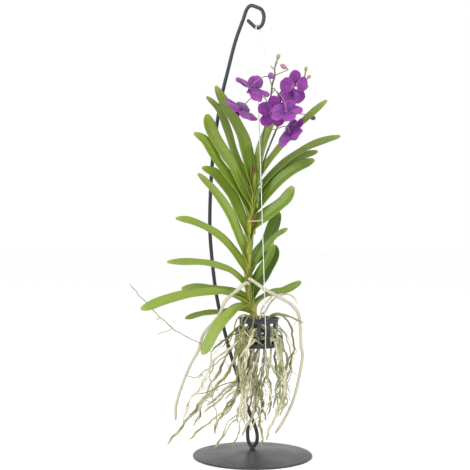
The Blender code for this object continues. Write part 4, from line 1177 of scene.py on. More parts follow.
# Side, keel, depth of the tip, width, turn, tone and skew, with lengths in millimetres
LEAVES = tuple(Leaf(side, mm(*path), *mm(sizes[:2])[0], *sizes[2:]) for side, path, *sizes in (
    (-1, ((3, 506), (-14.4, 586), (-30.6, 626), (-55.2, 667), (-71.6, 698)), -6, 23.5, 55, 0.35),
    (-1, ((0, 486), (-35.2, 571), (-49.1, 616), (-65.4, 655), (-88.5, 679.5)), 6, 20, 42, 0.25),
    (-1, ((-1, 470), (-35.2, 540.5), (-55.2, 571), (-75.8, 606), (-89, 641.7)), -30, 26, 56, 0.15),
    (-1, ((-2, 450), (-25.7, 497), (-50.8, 533), (-69.6, 558.5), (-88, 590), (-109.6, 604)),
        -46, 21.5, 50, 0.2),
    (-1, ((-5, 414), (-30.6, 474), (-48.4, 507), (-71, 533), (-95.8, 543.2)), -4, 21.5, 50, 0.28),
    (-1, ((-7, 364), (-30.6, 426), (-50.8, 469), (-76.2, 503), (-102.2, 529.2)), -50, 22, 52, 0.18),
    (-1, ((-7.5, 328), (-15.3, 350), (-40.8, 393), (-71, 421.5), (-111.5, 441.5), (-141.9, 447)),
        -52, 21, 48, 0.22),
    (-1, ((-6, 304), (-15, 320), (-40.8, 348), (-71, 361), (-104, 366.5), (-156.7, 366.8)),
        -60, 20, 40, 0.28),
    (-1, ((-5, 292), (-30, 307), (-71, 315), (-107, 318.5), (-133.8, 314.9)), -4, 20, 36, 0.45),
    (-1, ((-1, 276), (-23, 294), (-60.9, 308.5), (-111.5, 308.6), (-162.2, 297.3), (-203.9, 280.7)),
        -70, 21.5, 44, 0.2),
    (-1, ((1, 272), (-23, 275), (-50.8, 272.5), (-91.3, 270), (-126.3, 260.5)), -18, 15, 30, 0.45),
    (-1, ((2, 276), (-18, 280), (-38.6, 273), (-65, 248), (-91.5, 198)), -58, 22, 46, 0.12),
    (-1, ((4, 520), (1, 555), (-6, 587)), 2, 13, 40, 0.5),
    (1, ((5, 516), (16, 576), (40, 639)), 16, 18, 50, 0.25),
    (1, ((4, 503), (17.8, 531), (47.3, 575), (67.7, 597.6), (88.3, 622), (138.3, 666.2)), -40, 20, 44, 0.4),
    (1, ((3, 488), (30.2, 522), (65.6, 558), (103.6, 583), (136.5, 597), (170.1, 606.7)), 30, 18.5, 34, 0.35),
    (1, ((1, 468), (27.6, 510), (60.5, 543), (90.9, 565.5), (127.2, 578)), 36, 18, 36, 0.25),
    (1, ((-1, 452), (14.9, 474), (32.9, 500), (55.6, 525), (85.8, 545), (117.6, 557.6)), -6, 21.5, 48, 0.65),
    (1, ((-3, 432), (22.5, 452), (40.4, 465), (64, 484.6), (79.6, 507)), -12, 23.5, 54, 0.5, 0.9),
    (1, ((-6, 362), (15, 384), (29, 403), (42, 435), (52.9, 464.2)), 34, 25, 55, 0.95),
    (1, ((-7, 346), (10, 373), (27.6, 396), (45.4, 416), (66.9, 429)), -4, 17, 44, 0.65),
    (1, ((-6.5, 318), (7, 336), (20, 356), (33, 380), (40, 402)), -10, 20, 52, 0.8),
    (1, ((-4, 292), (10, 317.5), (27.2, 348), (40.4, 376), (46.7, 398.4)), 22, 23.5, 55, 0.95),
    (1, ((0, 278), (14.9, 292.2), (40.4, 307.3), (65, 312.4), (94.7, 327.5)), 26, 18, 34, 0.55),
))


def round_end(share: np.ndarray, start: float, power: float, least: float = 0.0004) -> np.ndarray:
    """A blade's width at a share of its length: 1, and after the start falling to a rounded end.

    Args:
        share: Shares of the length.
        start: Where the rounding starts.
        power: How square the end is.
        least: The square of the width at the very end.

    Returns:
        The widths, the square root of 1 less the power of the share of the rounding passed.
    """
    passed = np.clip((share - start) / (1.0001 - start), 0, 1)
    return np.sqrt(np.clip(1 - passed**power, least, 1))


@dataclass
class LeafyStem:
    """The stem with its clasping leaf bases and its two ranks of strap leaves."""

    route: tuple = mm(
        (8, 6, 238), (0, 8, 278), (-6, 8, 314), (-8.5, 8, 356), (-6.5, 8, 409), (-1.5, 8, 454), (3, 8, 500),
        (5.5, 8, 536),
    )
    radius: float = 0.0072
    tip: float = 0.55
    thickness: float = 0.0016
    low_broader: float = 1.06
    broader: float = 1.27
    sheath: float = 0.050
    lowest: float = 0.270
    ends: tuple[float, float] = (0.90, 0.80)
    husk_paths: tuple = (
        mm((-4, -0.2, 428), (4, -2, 447), (8.5, -2.2, 462)),
        mm((1, 0.8, 538), (3, -2, 544), (3, -3, 549)),
    )

    def stem_at(self, height: np.ndarray | float) -> np.ndarray:
        """The stem's middle at a height."""
        return at_height(np.array(self.route), height)

    def stem(self) -> Surface:
        """The stem, drawn in a little between the old leaf joints, with a taper of the square of its share.

        Returns:
            The closed bar.
        """
        path = smooth_path(self.route, 0.0025)
        share = shares(path)
        joints = np.abs(np.sin(share * math.pi * 21))
        taper = 1 + (self.tip - 1) * share**2
        return tube(path, self.radius * taper * (0.96 + 0.06 * (1 - joints)), 20, BACK, tone=0.2)

    def keel(self, leaf: Leaf) -> np.ndarray:
        """The leaf's keel, first up the stem's side as a clasping sheath, then out along its own path.

        Args:
            leaf: The leaf.

        Returns:
            Evenly spaced points, 64 of them.
        """
        out, height = leaf.path[0]
        start = self.stem_at(height)
        reach = abs(leaf.path[-1][0] - out)
        points = []
        foot = max(height - self.sheath, self.lowest)
        if height - foot > 0.012:
            points.append(self.stem_at(foot) + (leaf.side * 0.0062, 0, 0))
            points.append(self.stem_at((foot + height) / 2) + (leaf.side * 0.0078, 0, 0))
        points.append(start + (leaf.side * 0.0060, 0, -0.002))
        for along, level in leaf.path[1:]:
            share = abs(along - out) / reach
            points.append((along, start[1] + (leaf.far - start[1]) * share, level))
        return path_at(smooth_path(points, 0.002), np.linspace(0, 1, 64))

    def leaf(self, leaf: Leaf, number: int) -> Surface:
        """One strap leaf.

        At share s of its length the section is a V of half-width w(s) whose sides rise by the fold angle,
        which closes round the stem and opens outwards. The half-width rises from the sheath, stays even and
        ends in a rounded, slanted tip, and the margins wave a little.

        Args:
            leaf: The leaf's numbers.
            number: Its place in the list, which varies its waves.

        Returns:
            The closed blade.
        """
        dense, rounded = self.ends
        end = 1 - (1 - dense) * (1 - np.linspace(0, 1, 19)[1:]) ** 2.2
        s = np.concatenate([np.linspace(0, dense, 46), end])
        path = path_at(self.keel(leaf), s)
        ahead = unit(np.gradient(path, axis=0))
        level = unit(np.stack([ahead[:, 1] * leaf.side, -np.ones(len(s)), np.zeros(len(s))], -1))
        upper = unit(np.cross(ahead, level)) * -leaf.side
        rise = np.clip((s - 0.10) / 0.30, 0, 1)
        opened = 0.45 + 0.55 * rise * rise * (3 - 2 * rise)
        turn = np.radians(leaf.turn) * opened + 0.10 * np.sin(s * 5 + number)
        cos, sin = np.cos(turn)[:, None], np.sin(turn)[:, None]
        across, facing = level * cos - upper * sin, upper * cos + level * sin
        fold = np.radians(60 - 44 * np.clip((s - 0.05) / 0.45, 0, 1))[:, None]
        c = np.linspace(-1, 1, 13)[None, :]
        reached = np.clip(s[:, None] * (1 + 0.030 * leaf.skew * c), 0, 1)
        tip = round_end(reached, rounded, 2.6)
        grow = 1.16 - 0.16 * np.clip(s / 0.45, 0, 1)[:, None]
        broader = np.interp(leaf.path[0][1], (0.34, 0.42), (self.low_broader, self.broader))
        half = leaf.width * broader / 2 * grow * tip * (1 + 0.02 * np.sin(s * 17 + number * 2))[:, None]
        bend = np.sqrt(c**2 + 0.01) - 0.1
        wave = 0.0006 * np.sin(s * 21 + number * 1.7)[:, None] * np.abs(c) * c
        sag = bend * half * np.sin(fold) + wave * tip
        aside = across[:, None] * (c * half * np.cos(fold))[..., None]
        middle = path[:, None] + aside + facing[:, None] * sag[..., None]
        thick = self.thickness * (1 - 0.55 * c**4) * np.clip(0.35 + tip, 0, 1) * (1.15 - 0.35 * s[:, None])
        ones = np.ones_like(half)
        values = {"along": s[:, None] * ones, "across": c * ones, "tone": leaf.tone * ones}
        return blade(middle, across, facing, thick, values)

    def husks(self) -> Surface:
        """Dry brown sheath ends that stick up from the stem's front.

        Returns:
            The joined tapering tubes.
        """
        parts = []
        for points in self.husk_paths:
            path = smooth_path(points, 0.0015)
            parts.append(tube(path, 0.0026 * (1 - 0.55 * shares(path) ** 2), 10, BACK))
        return Surface.joined(parts)

    def build(self, finishes: Finishes) -> None:
        """Makes the stem, the leaves and the dry husks.

        Args:
            finishes: The materials.
        """
        blades = Surface.joined([self.leaf(leaf, number) for number, leaf in enumerate(LEAVES)])
        leaves = blades.to_object("strap_leaves", finishes.of(Plant.LEAF), "leaf_green")
        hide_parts("leafy_stem")
        self.stem().to_object("stem_core", finishes.of(Plant.STEM), "leaf_green")
        self.husks().to_object("dry_husks", finishes.of(Plant.HUSK), "leaf_green")


@dataclass(frozen=True)
class Bloom:
    """One open flower.

    Attributes:
        node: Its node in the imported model.
        spike: Which main stalk carries it.
        heart: Its middle.
        facing: The way it faces.
        top: The way its top sepal points.
        spread: Its width across.
        bend: How far its tepals bend back, in degrees.
        spur: Length of its spur.
        stalk: Where its own stalk runs, from the main stalk.
    """

    node: str
    spike: int
    heart: tuple
    facing: tuple
    top: tuple
    spread: float
    bend: float
    spur: float
    stalk: tuple

    def matrix(self) -> np.ndarray:
        """The flower's own frame, whose Z runs along its facing and whose Y leans to its top.

        Returns:
            A 4 by 4 matrix.
        """
        front = unit(np.array(self.facing, float))
        upper = np.array(self.top, float)
        upper = unit(upper - front * (upper @ front))
        made = np.eye(4)
        made[:3, 0] = np.cross(upper, front)
        made[:3, 1] = upper
        made[:3, 2] = front
        made[:3, 3] = self.heart
        return made


@dataclass(frozen=True)
class Tepal:
    """One petal or sepal.

    Attributes:
        turn: Its turn round the heart, in degrees.
        length: Its length as a share of the bloom's spread.
        width: Its width as a share of the spread.
        depth: Where it starts along the bloom's facing.
        crimp: How strongly its margin waves.
    """

    turn: float
    length: float
    width: float
    depth: float
    crimp: float


@dataclass(frozen=True)
class Bud:
    """One closed bud.

    Attributes:
        node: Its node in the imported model, or None for a green bud that is part of a spike's node.
        spike: Which main stalk carries it.
        centre: Its middle.
        axis: The way its tip points.
        side: Its side radius.
        long: Half its length.
        stalk: Where its own stalk runs, from the main stalk.
        finish: Its finish.
    """

    node: str | None
    spike: int
    centre: tuple
    axis: tuple
    side: float
    long: float
    stalk: tuple
    finish: Plant


BLOOMS = (
    Bloom(
        "bloom_top_left", 0, (-0.0014, -0.0635, 0.6880), (-0.41, 0.45, -0.79),
        (0.15, 0.92, 0.25), 0.066, 6, 0.012,
        ((0.0355, -0.0340, 0.6939), (0.0290, -0.0355, 0.7110), (0.0165, -0.0480, 0.7080)),
    ),
    Bloom(
        "bloom_low_left", 0, (-0.0215, -0.0580, 0.6490), (-0.56, 0.40, -0.72),
        (0.10, 0.97, 0.20), 0.068, 4, 0.022,
        ((0.0308, -0.0300, 0.6561), (0.0200, -0.0370, 0.6740), (0.0000, -0.0520, 0.6710)),
    ),
    Bloom(
        "bloom_middle", 0, (0.0375, -0.0450, 0.6450), (0.30, -0.90, -0.30),
        (0.06, -0.30, 0.90), 0.056, 10, 0.012,
        ((0.0324, -0.0310, 0.6648), (0.0345, -0.0330, 0.6630)),
    ),
    Bloom(
        "bloom_behind", 0, (0.0600, -0.0740, 0.6420), (0.20, 0.72, -0.66),
        (0.40, 0.65, 0.70), 0.056, 18, 0.010,
        ((0.0340, -0.0330, 0.6793), (0.0400, -0.0560, 0.6830), (0.0520, -0.0800, 0.6680)),
    ),
    Bloom(
        "bloom_side", 0, (0.0510, 0.0040, 0.6819), (0.78, 0.16, -0.60), (0.60, 0.05, 0.78), 0.050, 14, 0.010,
        ((0.0340, -0.0330, 0.6852), (0.0400, -0.0180, 0.6930), (0.0430, -0.0040, 0.6910)),
    ),
    Bloom(
        "bloom_top_right", 1, (0.0765, -0.0380, 0.6905), (0.50, -0.80, -0.30),
        (0.05, -0.30, 0.95), 0.062, 10, 0.010,
        ((0.0868, 0.0012, 0.6812), (0.0862, -0.0100, 0.6880), (0.0815, -0.0250, 0.6950)),
    ),
    Bloom(
        "bloom_low_right", 0, (0.0685, -0.0560, 0.6066), (0.66, 0.48, -0.56),
        (0.55, -0.30, 0.70), 0.064, 10, 0.012,
        ((0.0247, -0.0172, 0.6251), (0.0370, -0.0300, 0.6140), (0.0560, -0.0580, 0.6170)),
    ),
)

PETAL_ARCHES = {
    ("bloom_top_left", 0): 34.0,
    ("bloom_top_left", 3): 22.0,
    ("bloom_top_left", 4): -28.0,
    ("bloom_low_left", 1): -8.0,
    ("bloom_side", 0): 20.0,
    ("bloom_low_right", 3): -20.0,
    ("bloom_middle", 2): 14.0,
    ("bloom_top_right", 1): 12.0,
}

BUDS = (
    Bud("bud_violet", 0, (0.0335, -0.0470, 0.7119),
    (-0.50, -0.60, 0.62), 0.0060, 0.0066, ((0.0386, -0.0350, 0.7055),), Plant.VIOLET_BUD),
    Bud(
        "bud_rose", 0, (0.0568, -0.0400, 0.7300), (-0.70, -0.20, 0.42), 0.0044, 0.0072,
        ((0.0410, -0.0360, 0.7142), (0.0503, -0.0370, 0.7179), (0.0620, -0.0380, 0.7227)), Plant.ROSE_BUD,
    ),
    Bud(
        "bud_pale", 1, (0.1010, -0.0130, 0.6955), (0.60, -0.35, 0.72), 0.0036, 0.0055,
        ((0.0915, -0.0007, 0.6858), (0.0950, -0.0060, 0.6870)), Plant.ROSE_BUD,
    ),
    Bud(
        "bud_dark", 1, (0.1142, 0.0040, 0.6400), (0.85, -0.10, -0.30), 0.0046, 0.0062,
        ((0.0765, 0.0060, 0.6660), (0.0868, 0.0070, 0.6500), (0.1010, 0.0045, 0.6462)), Plant.DARK_BUD,
    ),
    Bud(None, 0, (0.0474, -0.0380, 0.7486), (0.3, 0, 1), 0.0040, 0.0050, (), Plant.GREEN_BUD),
    Bud(None, 0, (0.0438, -0.0395, 0.7371), (0.3, -0.5, 1), 0.0026, 0.0034, (), Plant.GREEN_BUD),
    Bud(None, 0, (0.0358, -0.0370, 0.7287), (-0.8, 0, 0.9), 0.0013, 0.0050, (), Plant.GREEN_BUD),
    Bud(None, 0, (0.0250, -0.0175, 0.6260), (0.2, 0, 1), 0.0028, 0.0034, (), Plant.GREEN_BUD),
    Bud(None, 1, (0.1010, -0.0062, 0.7310), (0.2, 0, 1), 0.0034, 0.0050, (), Plant.GREEN_BUD),
    Bud(
        None, 1, (0.1068, -0.0060, 0.7160), (0.8, 0, 0.7), 0.0034, 0.0042,
        ((0.0970, -0.0042, 0.7085), (0.1020, -0.0050, 0.7110), (0.1050, -0.0055, 0.7145)), Plant.GREEN_BUD,
    ),
)


@dataclass
class Flowers:
    """The two flower stalks with their open blooms and buds."""

    spikes: tuple = (
        mm(
            (9, -8.4, 469.9), (14.7, -11.2, 539.3), (19.7, -11, 603.9), (28.3, -22, 637.4),
            (32.4, -31, 664.8), (34.3, -33, 682.3), (36.5, -34.5, 698.7), (41, -36, 713.2),
            (40.3, -37, 724.8), (42.5, -37.5, 734.5), (46.8, -38, 746.2),
        ),
        mm(
            (2, 15.1, 479), (6, 22.5, 498), (15, 28, 532), (29, 30, 578), (56, 22, 640), (76.5, 6, 666),
            (84, 2, 678), (92.5, -1, 687), (96.8, -4, 709.5), (100.8, -6, 729),
        ),
    )
    spike_radius: float = 0.0019
    stalk_radius: float = 0.0010
    thickness: float = 0.0009
    heart: float = 0.0030
    bud_shape: tuple[float, float] = (0.07, 0.5)
    tepals: tuple[Tepal, ...] = (
        Tepal(90, 0.50, 0.41, -0.0010, 0.6),
        Tepal(20, 0.51, 0.43, 0.0010, 1.0),
        Tepal(160, 0.51, 0.43, 0.0010, 1.3),
        Tepal(-52, 0.52, 0.43, -0.0010, 0.8),
        Tepal(232, 0.52, 0.43, -0.0010, 1.1),
    )

    def tepal(self, bloom: Bloom, tepal: Tepal, number: int) -> Surface:
        """One petal or sepal in the flower's own frame.

        At share t of its length the half-width is W(0.24 + 0.80 sin(0.90 pi t^0.85)^0.75). The middle line
        bends back by the bloom's angle and forward again, the blade cups across, and its margin waves.

        Args:
            bloom: The flower.
            tepal: The petal's or sepal's numbers.
            number: Its place, which varies its waves.

        Returns:
            The closed blade.
        """
        dense, rounded = 0.86, 0.80
        t = np.concatenate(
            [np.linspace(0, dense, 18), 1 - (1 - dense) * (1 - np.linspace(0, 1, 11)[1:]) ** 2]
        )
        length, width = tepal.length * bloom.spread, tepal.width * bloom.spread
        arch = PETAL_ARCHES.get((bloom.node, number), 0.0)
        tilt = np.radians(bloom.bend * (1 - 1.7 * t) + arch * np.clip(t * 1.6, 0, 1))
        step = np.gradient(t) * length
        reach = self.heart + np.cumsum(np.cos(tilt) * step) - step[0]
        depth = tepal.depth - np.cumsum(np.sin(tilt) * step)
        around = math.radians(tepal.turn)
        out = np.array((math.cos(around), math.sin(around), 0))
        across = np.array((-math.sin(around), math.cos(around), 0))
        body = 0.24 + 0.80 * np.sin(math.pi * 0.90 * t**0.85) ** 0.75
        rounding = round_end(t, rounded, 2.4)[:, None]
        half = width / 2 * body[:, None] * rounding
        c = np.linspace(-1, 1, 13)[None, :]
        phase = number * 1.9 + bloom.spread * 900
        margin = np.sin(t[:, None] * 9 + phase + c * 0.8) * np.abs(c) ** 2 * c
        cup = 0.12 * half * (c**2) * 1.6 + 0.0011 * tepal.crimp * margin * rounding
        crease = -0.0006 * np.exp(-((c / 0.16) ** 2)) * np.sin(math.pi * t)[:, None]
        height = UP * (depth[:, None] + cup + crease)[..., None]
        middle = out * reach[:, None, None] + across * (c * half)[..., None] + height
        thick = self.thickness * (1 - 0.6 * c**4) * np.clip(0.4 + rounding, 0, 1)
        ones = np.ones_like(thick)
        values = {"along": t[:, None] * ones, "across": c * ones}
        facing = np.broadcast_to(UP, (len(t), 3))
        return blade(middle, np.broadcast_to(across, (len(t), 3)), facing, thick, values)

    @staticmethod
    def egg(centre: tuple, axis: tuple, side: float, long: float, ribs: float, point: float) -> Surface:
        """A bud or small body: r = side sin(p) (1 + ribs cos 3a), drawn to a point at its tip.

        Args:
            centre: Its middle.
            axis: The way its tip points.
            side: Its side radius.
            long: Half its length.
            ribs: How strongly its three seams show.
            point: How much the tip is drawn out, from 0.

        Returns:
            The closed surface with "along" from foot to tip.
        """
        polar = np.linspace(0.12, math.pi - 0.10, 18)[:, None]
        angle = np.linspace(0, 2 * math.pi, 24, endpoint=False)[None, :]
        axis = unit(np.asarray(axis, float))
        helper = BACK if abs(axis[1]) < 0.8 else RIGHT
        first = unit(np.cross(axis, helper))
        second = np.cross(axis, first)
        share = (1 - np.cos(polar)) / 2
        radius = side * np.sin(polar) ** (1 + point * share) * (1 + ribs * np.cos(3 * angle) * np.sin(polar))
        height = -long * np.cos(polar) * np.ones_like(angle)
        aside = first * (radius * np.cos(angle))[..., None] + second * (radius * np.sin(angle))[..., None]
        rings = np.asarray(centre) + aside + axis * height[..., None]
        return closed_loft(rings, {"along": share * np.ones_like(angle)})

    def lip(self, bloom: Bloom) -> Surface:
        """The three-lobed lip in the flower's own frame: a keeled front lobe, two ears and the spur.

        The front lobe is a blade on t and c: it drops forward, y = -0.0015 - 0.0145t and
        z = 0.0035 + 0.0050 sin(2.2t), widens from 1.6 mm and rises by the square of c at its margins.

        Args:
            bloom: The flower.

        Returns:
            The joined closed surfaces.
        """
        t = np.linspace(0, 1, 20)
        c = np.linspace(-1, 1, 11)[None, :]
        y, z = -0.0015 - 0.0145 * t, 0.0035 + 0.0050 * np.sin(2.2 * t)
        tip = round_end(t, 0.7, 2.2, 0.003)[:, None]
        half = (0.0016 + 0.0034 * np.sin(math.pi * 0.75 * t))[:, None] * tip
        keels = 0.0006 * np.cos(c * 9) * np.exp(-((c / 0.6) ** 2)) * np.sin(math.pi * t)[:, None]
        lift = 0.0016 * c**2 * tip + keels
        middle = np.stack([c * half, y[:, None] + 0 * c, z[:, None] + lift], -1)
        side, facing = (np.broadcast_to(way, (len(t), 3)) for way in (RIGHT, UP))
        ones = np.ones_like(half * c)
        front = blade(middle, side, facing, 0.0010 * ones, {"along": t[:, None] * ones})
        front.values.pop("under")
        parts = [front]
        for hand in (-1, 1):
            place, axis = (hand * 0.0036, -0.0024, 0.0052), (hand * 0.35, -0.25, 1.0)
            parts.append(self.egg(place, axis, 0.0020, 0.0036, 0.1, 0.4))
        bends = [(0, -low * bloom.spur, -back * bloom.spur) for low, back in ((0.55, 0.25), (0.85, 0.55))]
        spur = smooth_path([(0, -0.0015, 0.0015), *bends], 0.0008)
        parts.append(tube(spur, 0.0014 * (1 - 0.55 * shares(spur)), 12, RIGHT))
        return Surface.joined(parts)

    def bloom(self, bloom: Bloom, finishes: Finishes) -> None:
        """Makes one flower's tepals, lip and column.

        Args:
            bloom: The flower.
            finishes: The materials.
        """
        place = bloom.matrix()
        blades = Surface.joined(
            [self.tepal(bloom, tepal, number) for number, tepal in enumerate(self.tepals)]
        )
        shown = blades.moved(place).to_object(
            f"{bloom.node}_tepals", finishes.of(Plant.PETAL), "petal_purple"
        )
        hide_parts(bloom.node)
        heart = self.egg((0, 0, -0.0004), UP, 0.0042, 0.0034, 0.02, 0.0)
        lip = Surface.joined([self.lip(bloom), heart]).moved(place)
        lip.to_object(f"{bloom.node}_lip", finishes.of(Plant.LIP), "petal_purple")
        column = self.egg((0, 0.0006, 0.0046), (0, -0.25, 1.0), 0.0024, 0.0044, 0.06, 0.1)
        column.moved(place).to_object(f"{bloom.node}_column", finishes.of(Plant.COLUMN), "petal_purple")

    def stalks(self, spike: int, finishes: Finishes) -> None:
        """Makes one main stalk with its knots, the side stalks of its flowers and buds, and its green buds.

        Args:
            spike: Which main stalk.
            finishes: The materials.
        """
        path = smooth_path(self.spikes[spike], 0.003)
        share = shares(path)
        knots = np.exp(-(((share * 9) % 1 - 0.5) ** 2) / 0.006)
        radius = self.spike_radius * (1 - 0.3 * share**2) * (1 + 0.16 * knots)
        main = tube(path, radius, 14)
        made = main.to_object(f"main_stalk_{spike + 1}", finishes.of(Plant.STALK), "stalk_olive")
        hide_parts(f"flower_spike_{spike + 1}")
        own = []
        for bloom in BLOOMS:
            if bloom.spike == spike:
                place = bloom.matrix()
                back = np.array([(0, 0.0030, -0.0100), (0, 0.0010, -0.0038 - GAP * 0.5)])
                own.append(self.side_stalk(np.vstack([bloom.stalk, back @ place[:3, :3].T + place[:3, 3]])))
        green = []
        for bud in BUDS:
            if bud.spike != spike:
                continue
            axis = unit(np.array(bud.axis, float))
            if bud.stalk:
                end = np.array(bud.centre) - axis * (bud.long + GAP)
                own.append(self.side_stalk(np.vstack([bud.stalk, end - axis * 0.003, end])))
            if bud.node is None:
                green.append(self.egg(bud.centre, bud.axis, bud.side, bud.long, *self.bud_shape))
        looks = (("side_stalks", own, Plant.OWN_STALK), ("green_buds", green, Plant.GREEN_BUD))
        for name, parts, look in looks:
            Surface.joined(parts).to_object(f"{name}_{spike + 1}", finishes.of(look), "stalk_olive")

    def side_stalk(self, points: np.ndarray) -> Surface:
        """A thin stalk, whose radius grows with the fourth power towards both ends.

        Args:
            points: What it passes through.

        Returns:
            The closed bar.
        """
        path = smooth_path(points, 0.0015)
        share = shares(path)
        return tube(path, self.stalk_radius * (0.85 + 0.35 * (2 * share - 1) ** 4), 10, UP)

    def build(self, finishes: Finishes) -> None:
        """Makes both stalks, all blooms and the coloured buds.

        Args:
            finishes: The materials.
        """
        for spike in range(len(self.spikes)):
            self.stalks(spike, finishes)
        for bloom in BLOOMS:
            self.bloom(bloom, finishes)
        for bud in BUDS:
            if bud.node:
                body = self.egg(bud.centre, bud.axis, bud.side, bud.long, *self.bud_shape)
                made = body.to_object(f"{bud.node}_skin", finishes.of(bud.finish), "bud_purple")
                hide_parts(bud.node)


class Way(Enum):
    """How a root leaves the basket."""

    WALL = "through an upright slot"
    FLOOR = "through a floor slot"
    RIM = "over the rim"
    FREE = "from a point on another root"


@dataclass(frozen=True)
class Root:
    """One root.

    Attributes:
        way: How it leaves the basket.
        start: Slot and height, slot and depth, angle and reach, or the point itself.
        path: Its way as (along X, height).
        near: Depth at the path's start.
        far: Depth at the path's end.
        radius: Its thickness, halved.
        tone: 0 for silvery cream and 1 for olive.
    """

    way: Way
    start: tuple
    path: tuple
    near: float
    far: float
    radius: float
    tone: float

    @classmethod
    def row(cls, way: Way, start: tuple, path: tuple, *sizes: float) -> Root:
        """A root from a row of the table.

        Args:
            way: How it leaves the basket.
            start: Its start, with its lengths in millimetres.
            path: Its way in millimetres.
            *sizes: Its two depths and its radius in millimetres, and its tone.

        Returns:
            The root, in metres.
        """
        kept = 0 if way is Way.FREE else 1
        return cls(way, (*start[:kept], *mm(start[kept:])[0]), mm(*path), *mm(sizes[:3])[0], sizes[3])


WALL, FLOOR, RIM, FREE = Way




ROOTS = tuple(Root.row(*row) for row in (
    (WALL, (6, 243), ((-40, 232), (-55, 219), (-78.6, 199)), -8, -16, 2.2, 0.95),
    (WALL, (6, 221), ((-44, 198), (-65, 180), (-86, 166), (-106, 152), (-126, 157)), -12, -30, 1, 1),
    (FREE, (-78.6, -16, 199),
        ((-91.5, 211.7), (-131.5, 232.5), (-163, 256.5), (-187, 283), (-229, 328)), -18, -50, 1, 0.9),
    (FREE, (-78, -16, 199),
        ((-78, 179.5), (-81, 166), (-78, 137), (-73, 106), (-67.7, 71), (-65, 53)), -18, -10, 1.6, 0),
    (WALL, (7, 228),
        ((-45, 205), (-70, 187), (-81, 169), (-97, 137), (-113, 116), (-123, 97), (-130, 71)), -34, -30,
        1.9, 0.05),
    (WALL, (8, 222), ((-14, 206), (-25, 185), (-17, 145.5), (-24, 106), (-30, 70)), -40, -30, 3, 0.45),
    (WALL, (7, 242), ((-20, 215), (-28, 180), (-30.4, 145.5), (-65, 108), (-90, 87)), -30, -20, 2.6, 0.75),
    (WALL, (6, 232),
        ((-31, 200), (-39, 172), (-65, 137), (-92, 110.6), (-123, 70.7), (-145, 44.2), (-158, 27)), -10,
        -20, 3.1, 0.55),
    (FREE, (-30.4, -26.2, 145.5), ((-54, 140), (-81, 128), (-105, 122.5)), -30, -40, 1.2, 1),
    (WALL, (5, 226), ((-27, 200), (-22, 165), (-30, 143), (-65, 110.6), (-83.5, 92)), 22, 24, 3, 0.2),
    (FLOOR, (-1, -10),
        ((-10, 175), (-20, 137), (-30, 118.5), (-54, 89.4), (-81, 71), (-118, 40)), -14, -40, 2.4, 0.7),
    (FLOOR, (-1, -19),
        ((-4, 170), (-4, 130), (-12, 100), (-25, 84), (-49, 57.5), (-67.7, 25)), -20, -50, 1.9, 0.35),
    (FLOOR, (0, -22), ((-2, 160), (-10, 120), (-22, 73), (-30, 45), (-38.4, 21)), -26, -52, 1.8, 0.4),
    (FLOOR, (0, -12), ((5.5, 185), (6.4, 158.8), (9.3, 105.3), (14.6, 65.4), (18.5, 18)), -12, -24, 2.6, 0.6),
    (WALL, (10, 222), ((46, 200), (59.3, 158.8), (57, 118.5), (41, 78.8), (25.3, 36.3)), -30, -22, 3.1, 0.15),
    (FLOOR, (1, -4), ((27, 185), (41, 163.7), (59.7, 142.3), (60, 110), (52, 80)), -4, -14, 2.8, 0.1),
    (RIM, (8, 44), ((69, 250), (78.2, 222), (75.6, 185), (63, 134), (60, 100)), 10, 12, 2, 0.95),
    (RIM, (-14, 43), ((66, 265.5), (82, 259), (97, 253.3)), -12, -16, 1.8, 0.95),
    (WALL, (11, 223), ((53, 195), (52, 165), (45, 125), (48, 95)), -8, 4, 2.3, 0.5),
    (WALL, (10, 241), ((47, 224), (51, 190), (46, 160), (52, 120), (44, 90)), -34, -36, 2.1, 0.7),
    (WALL, (7, 221), ((-22, 195), (-24, 160), (-18, 125), (-22, 95), (-18, 70)), -34, -36, 2.8, 0.5),
    (WALL, (8, 241), ((-6, 220), (-14, 180), (-10, 140), (-14, 100), (-6, 65)), -46, -38, 2.6, 0.4),
    (FLOOR, (-2, 4), ((-12, 185), (-14, 160), (-8, 120), (-12, 85)), 18, 22, 2.3, 0.6),
    (FLOOR, (0, 0),
        ((2, 185), (-6, 165), (1, 132), (4, 105.8), (-1, 79), (-12, 57.5), (-20, 44)), -4, -22, 3, 0.05),
    (FLOOR, (1, -12), ((26, 160), (33, 110), (14, 89), (-4, 53)), -14, -30, 1.5, 0.1),
    (FLOOR, (2, -6), ((34, 185), (30, 150), (36, 115), (30, 75)), -4, 10, 2.2, 0.5),
    (WALL, (0, 226), ((60, 205), (66, 170), (58, 135), (66, 105), (58, 80)), 18, 22, 2, 0.6),
    (WALL, (1, 240), ((50, 215), (44, 170), (54, 130), (40, 85)), 44, 36, 2.6, 0.4),
    (WALL, (2, 224), ((24, 195), (28, 150), (18, 110), (26, 60)), 50, 40, 2.8, 0.3),
    (WALL, (3, 240), ((0, 215), (-6, 170), (4, 130), (-4, 90), (4, 50)), 50, 44, 2.4, 0.6),
    (WALL, (4, 226), ((-20, 195), (-16, 155), (-34, 110), (-60, 70), (-74, 35)), 40, 36, 2.6, 0.5),
    (WALL, (5, 242), ((-44, 220), (-52, 180), (-80, 130), (-100, 80), (-112, 50)), 34, 40, 2.1, 0.3),
    (FLOOR, (1, 12), ((22, 170), (14, 130), (20, 90), (10, 50)), 18, 26, 2.5, 0.5),
    (FLOOR, (0, 16), ((8, 175), (2, 140), (8, 100), (-4, 72)), 22, 20, 2.1, 0.4),
    (WALL, (11, 242), ((64, 226), (70, 190), (62, 160), (70, 120)), -14, -30, 1.2, 0.9),
))

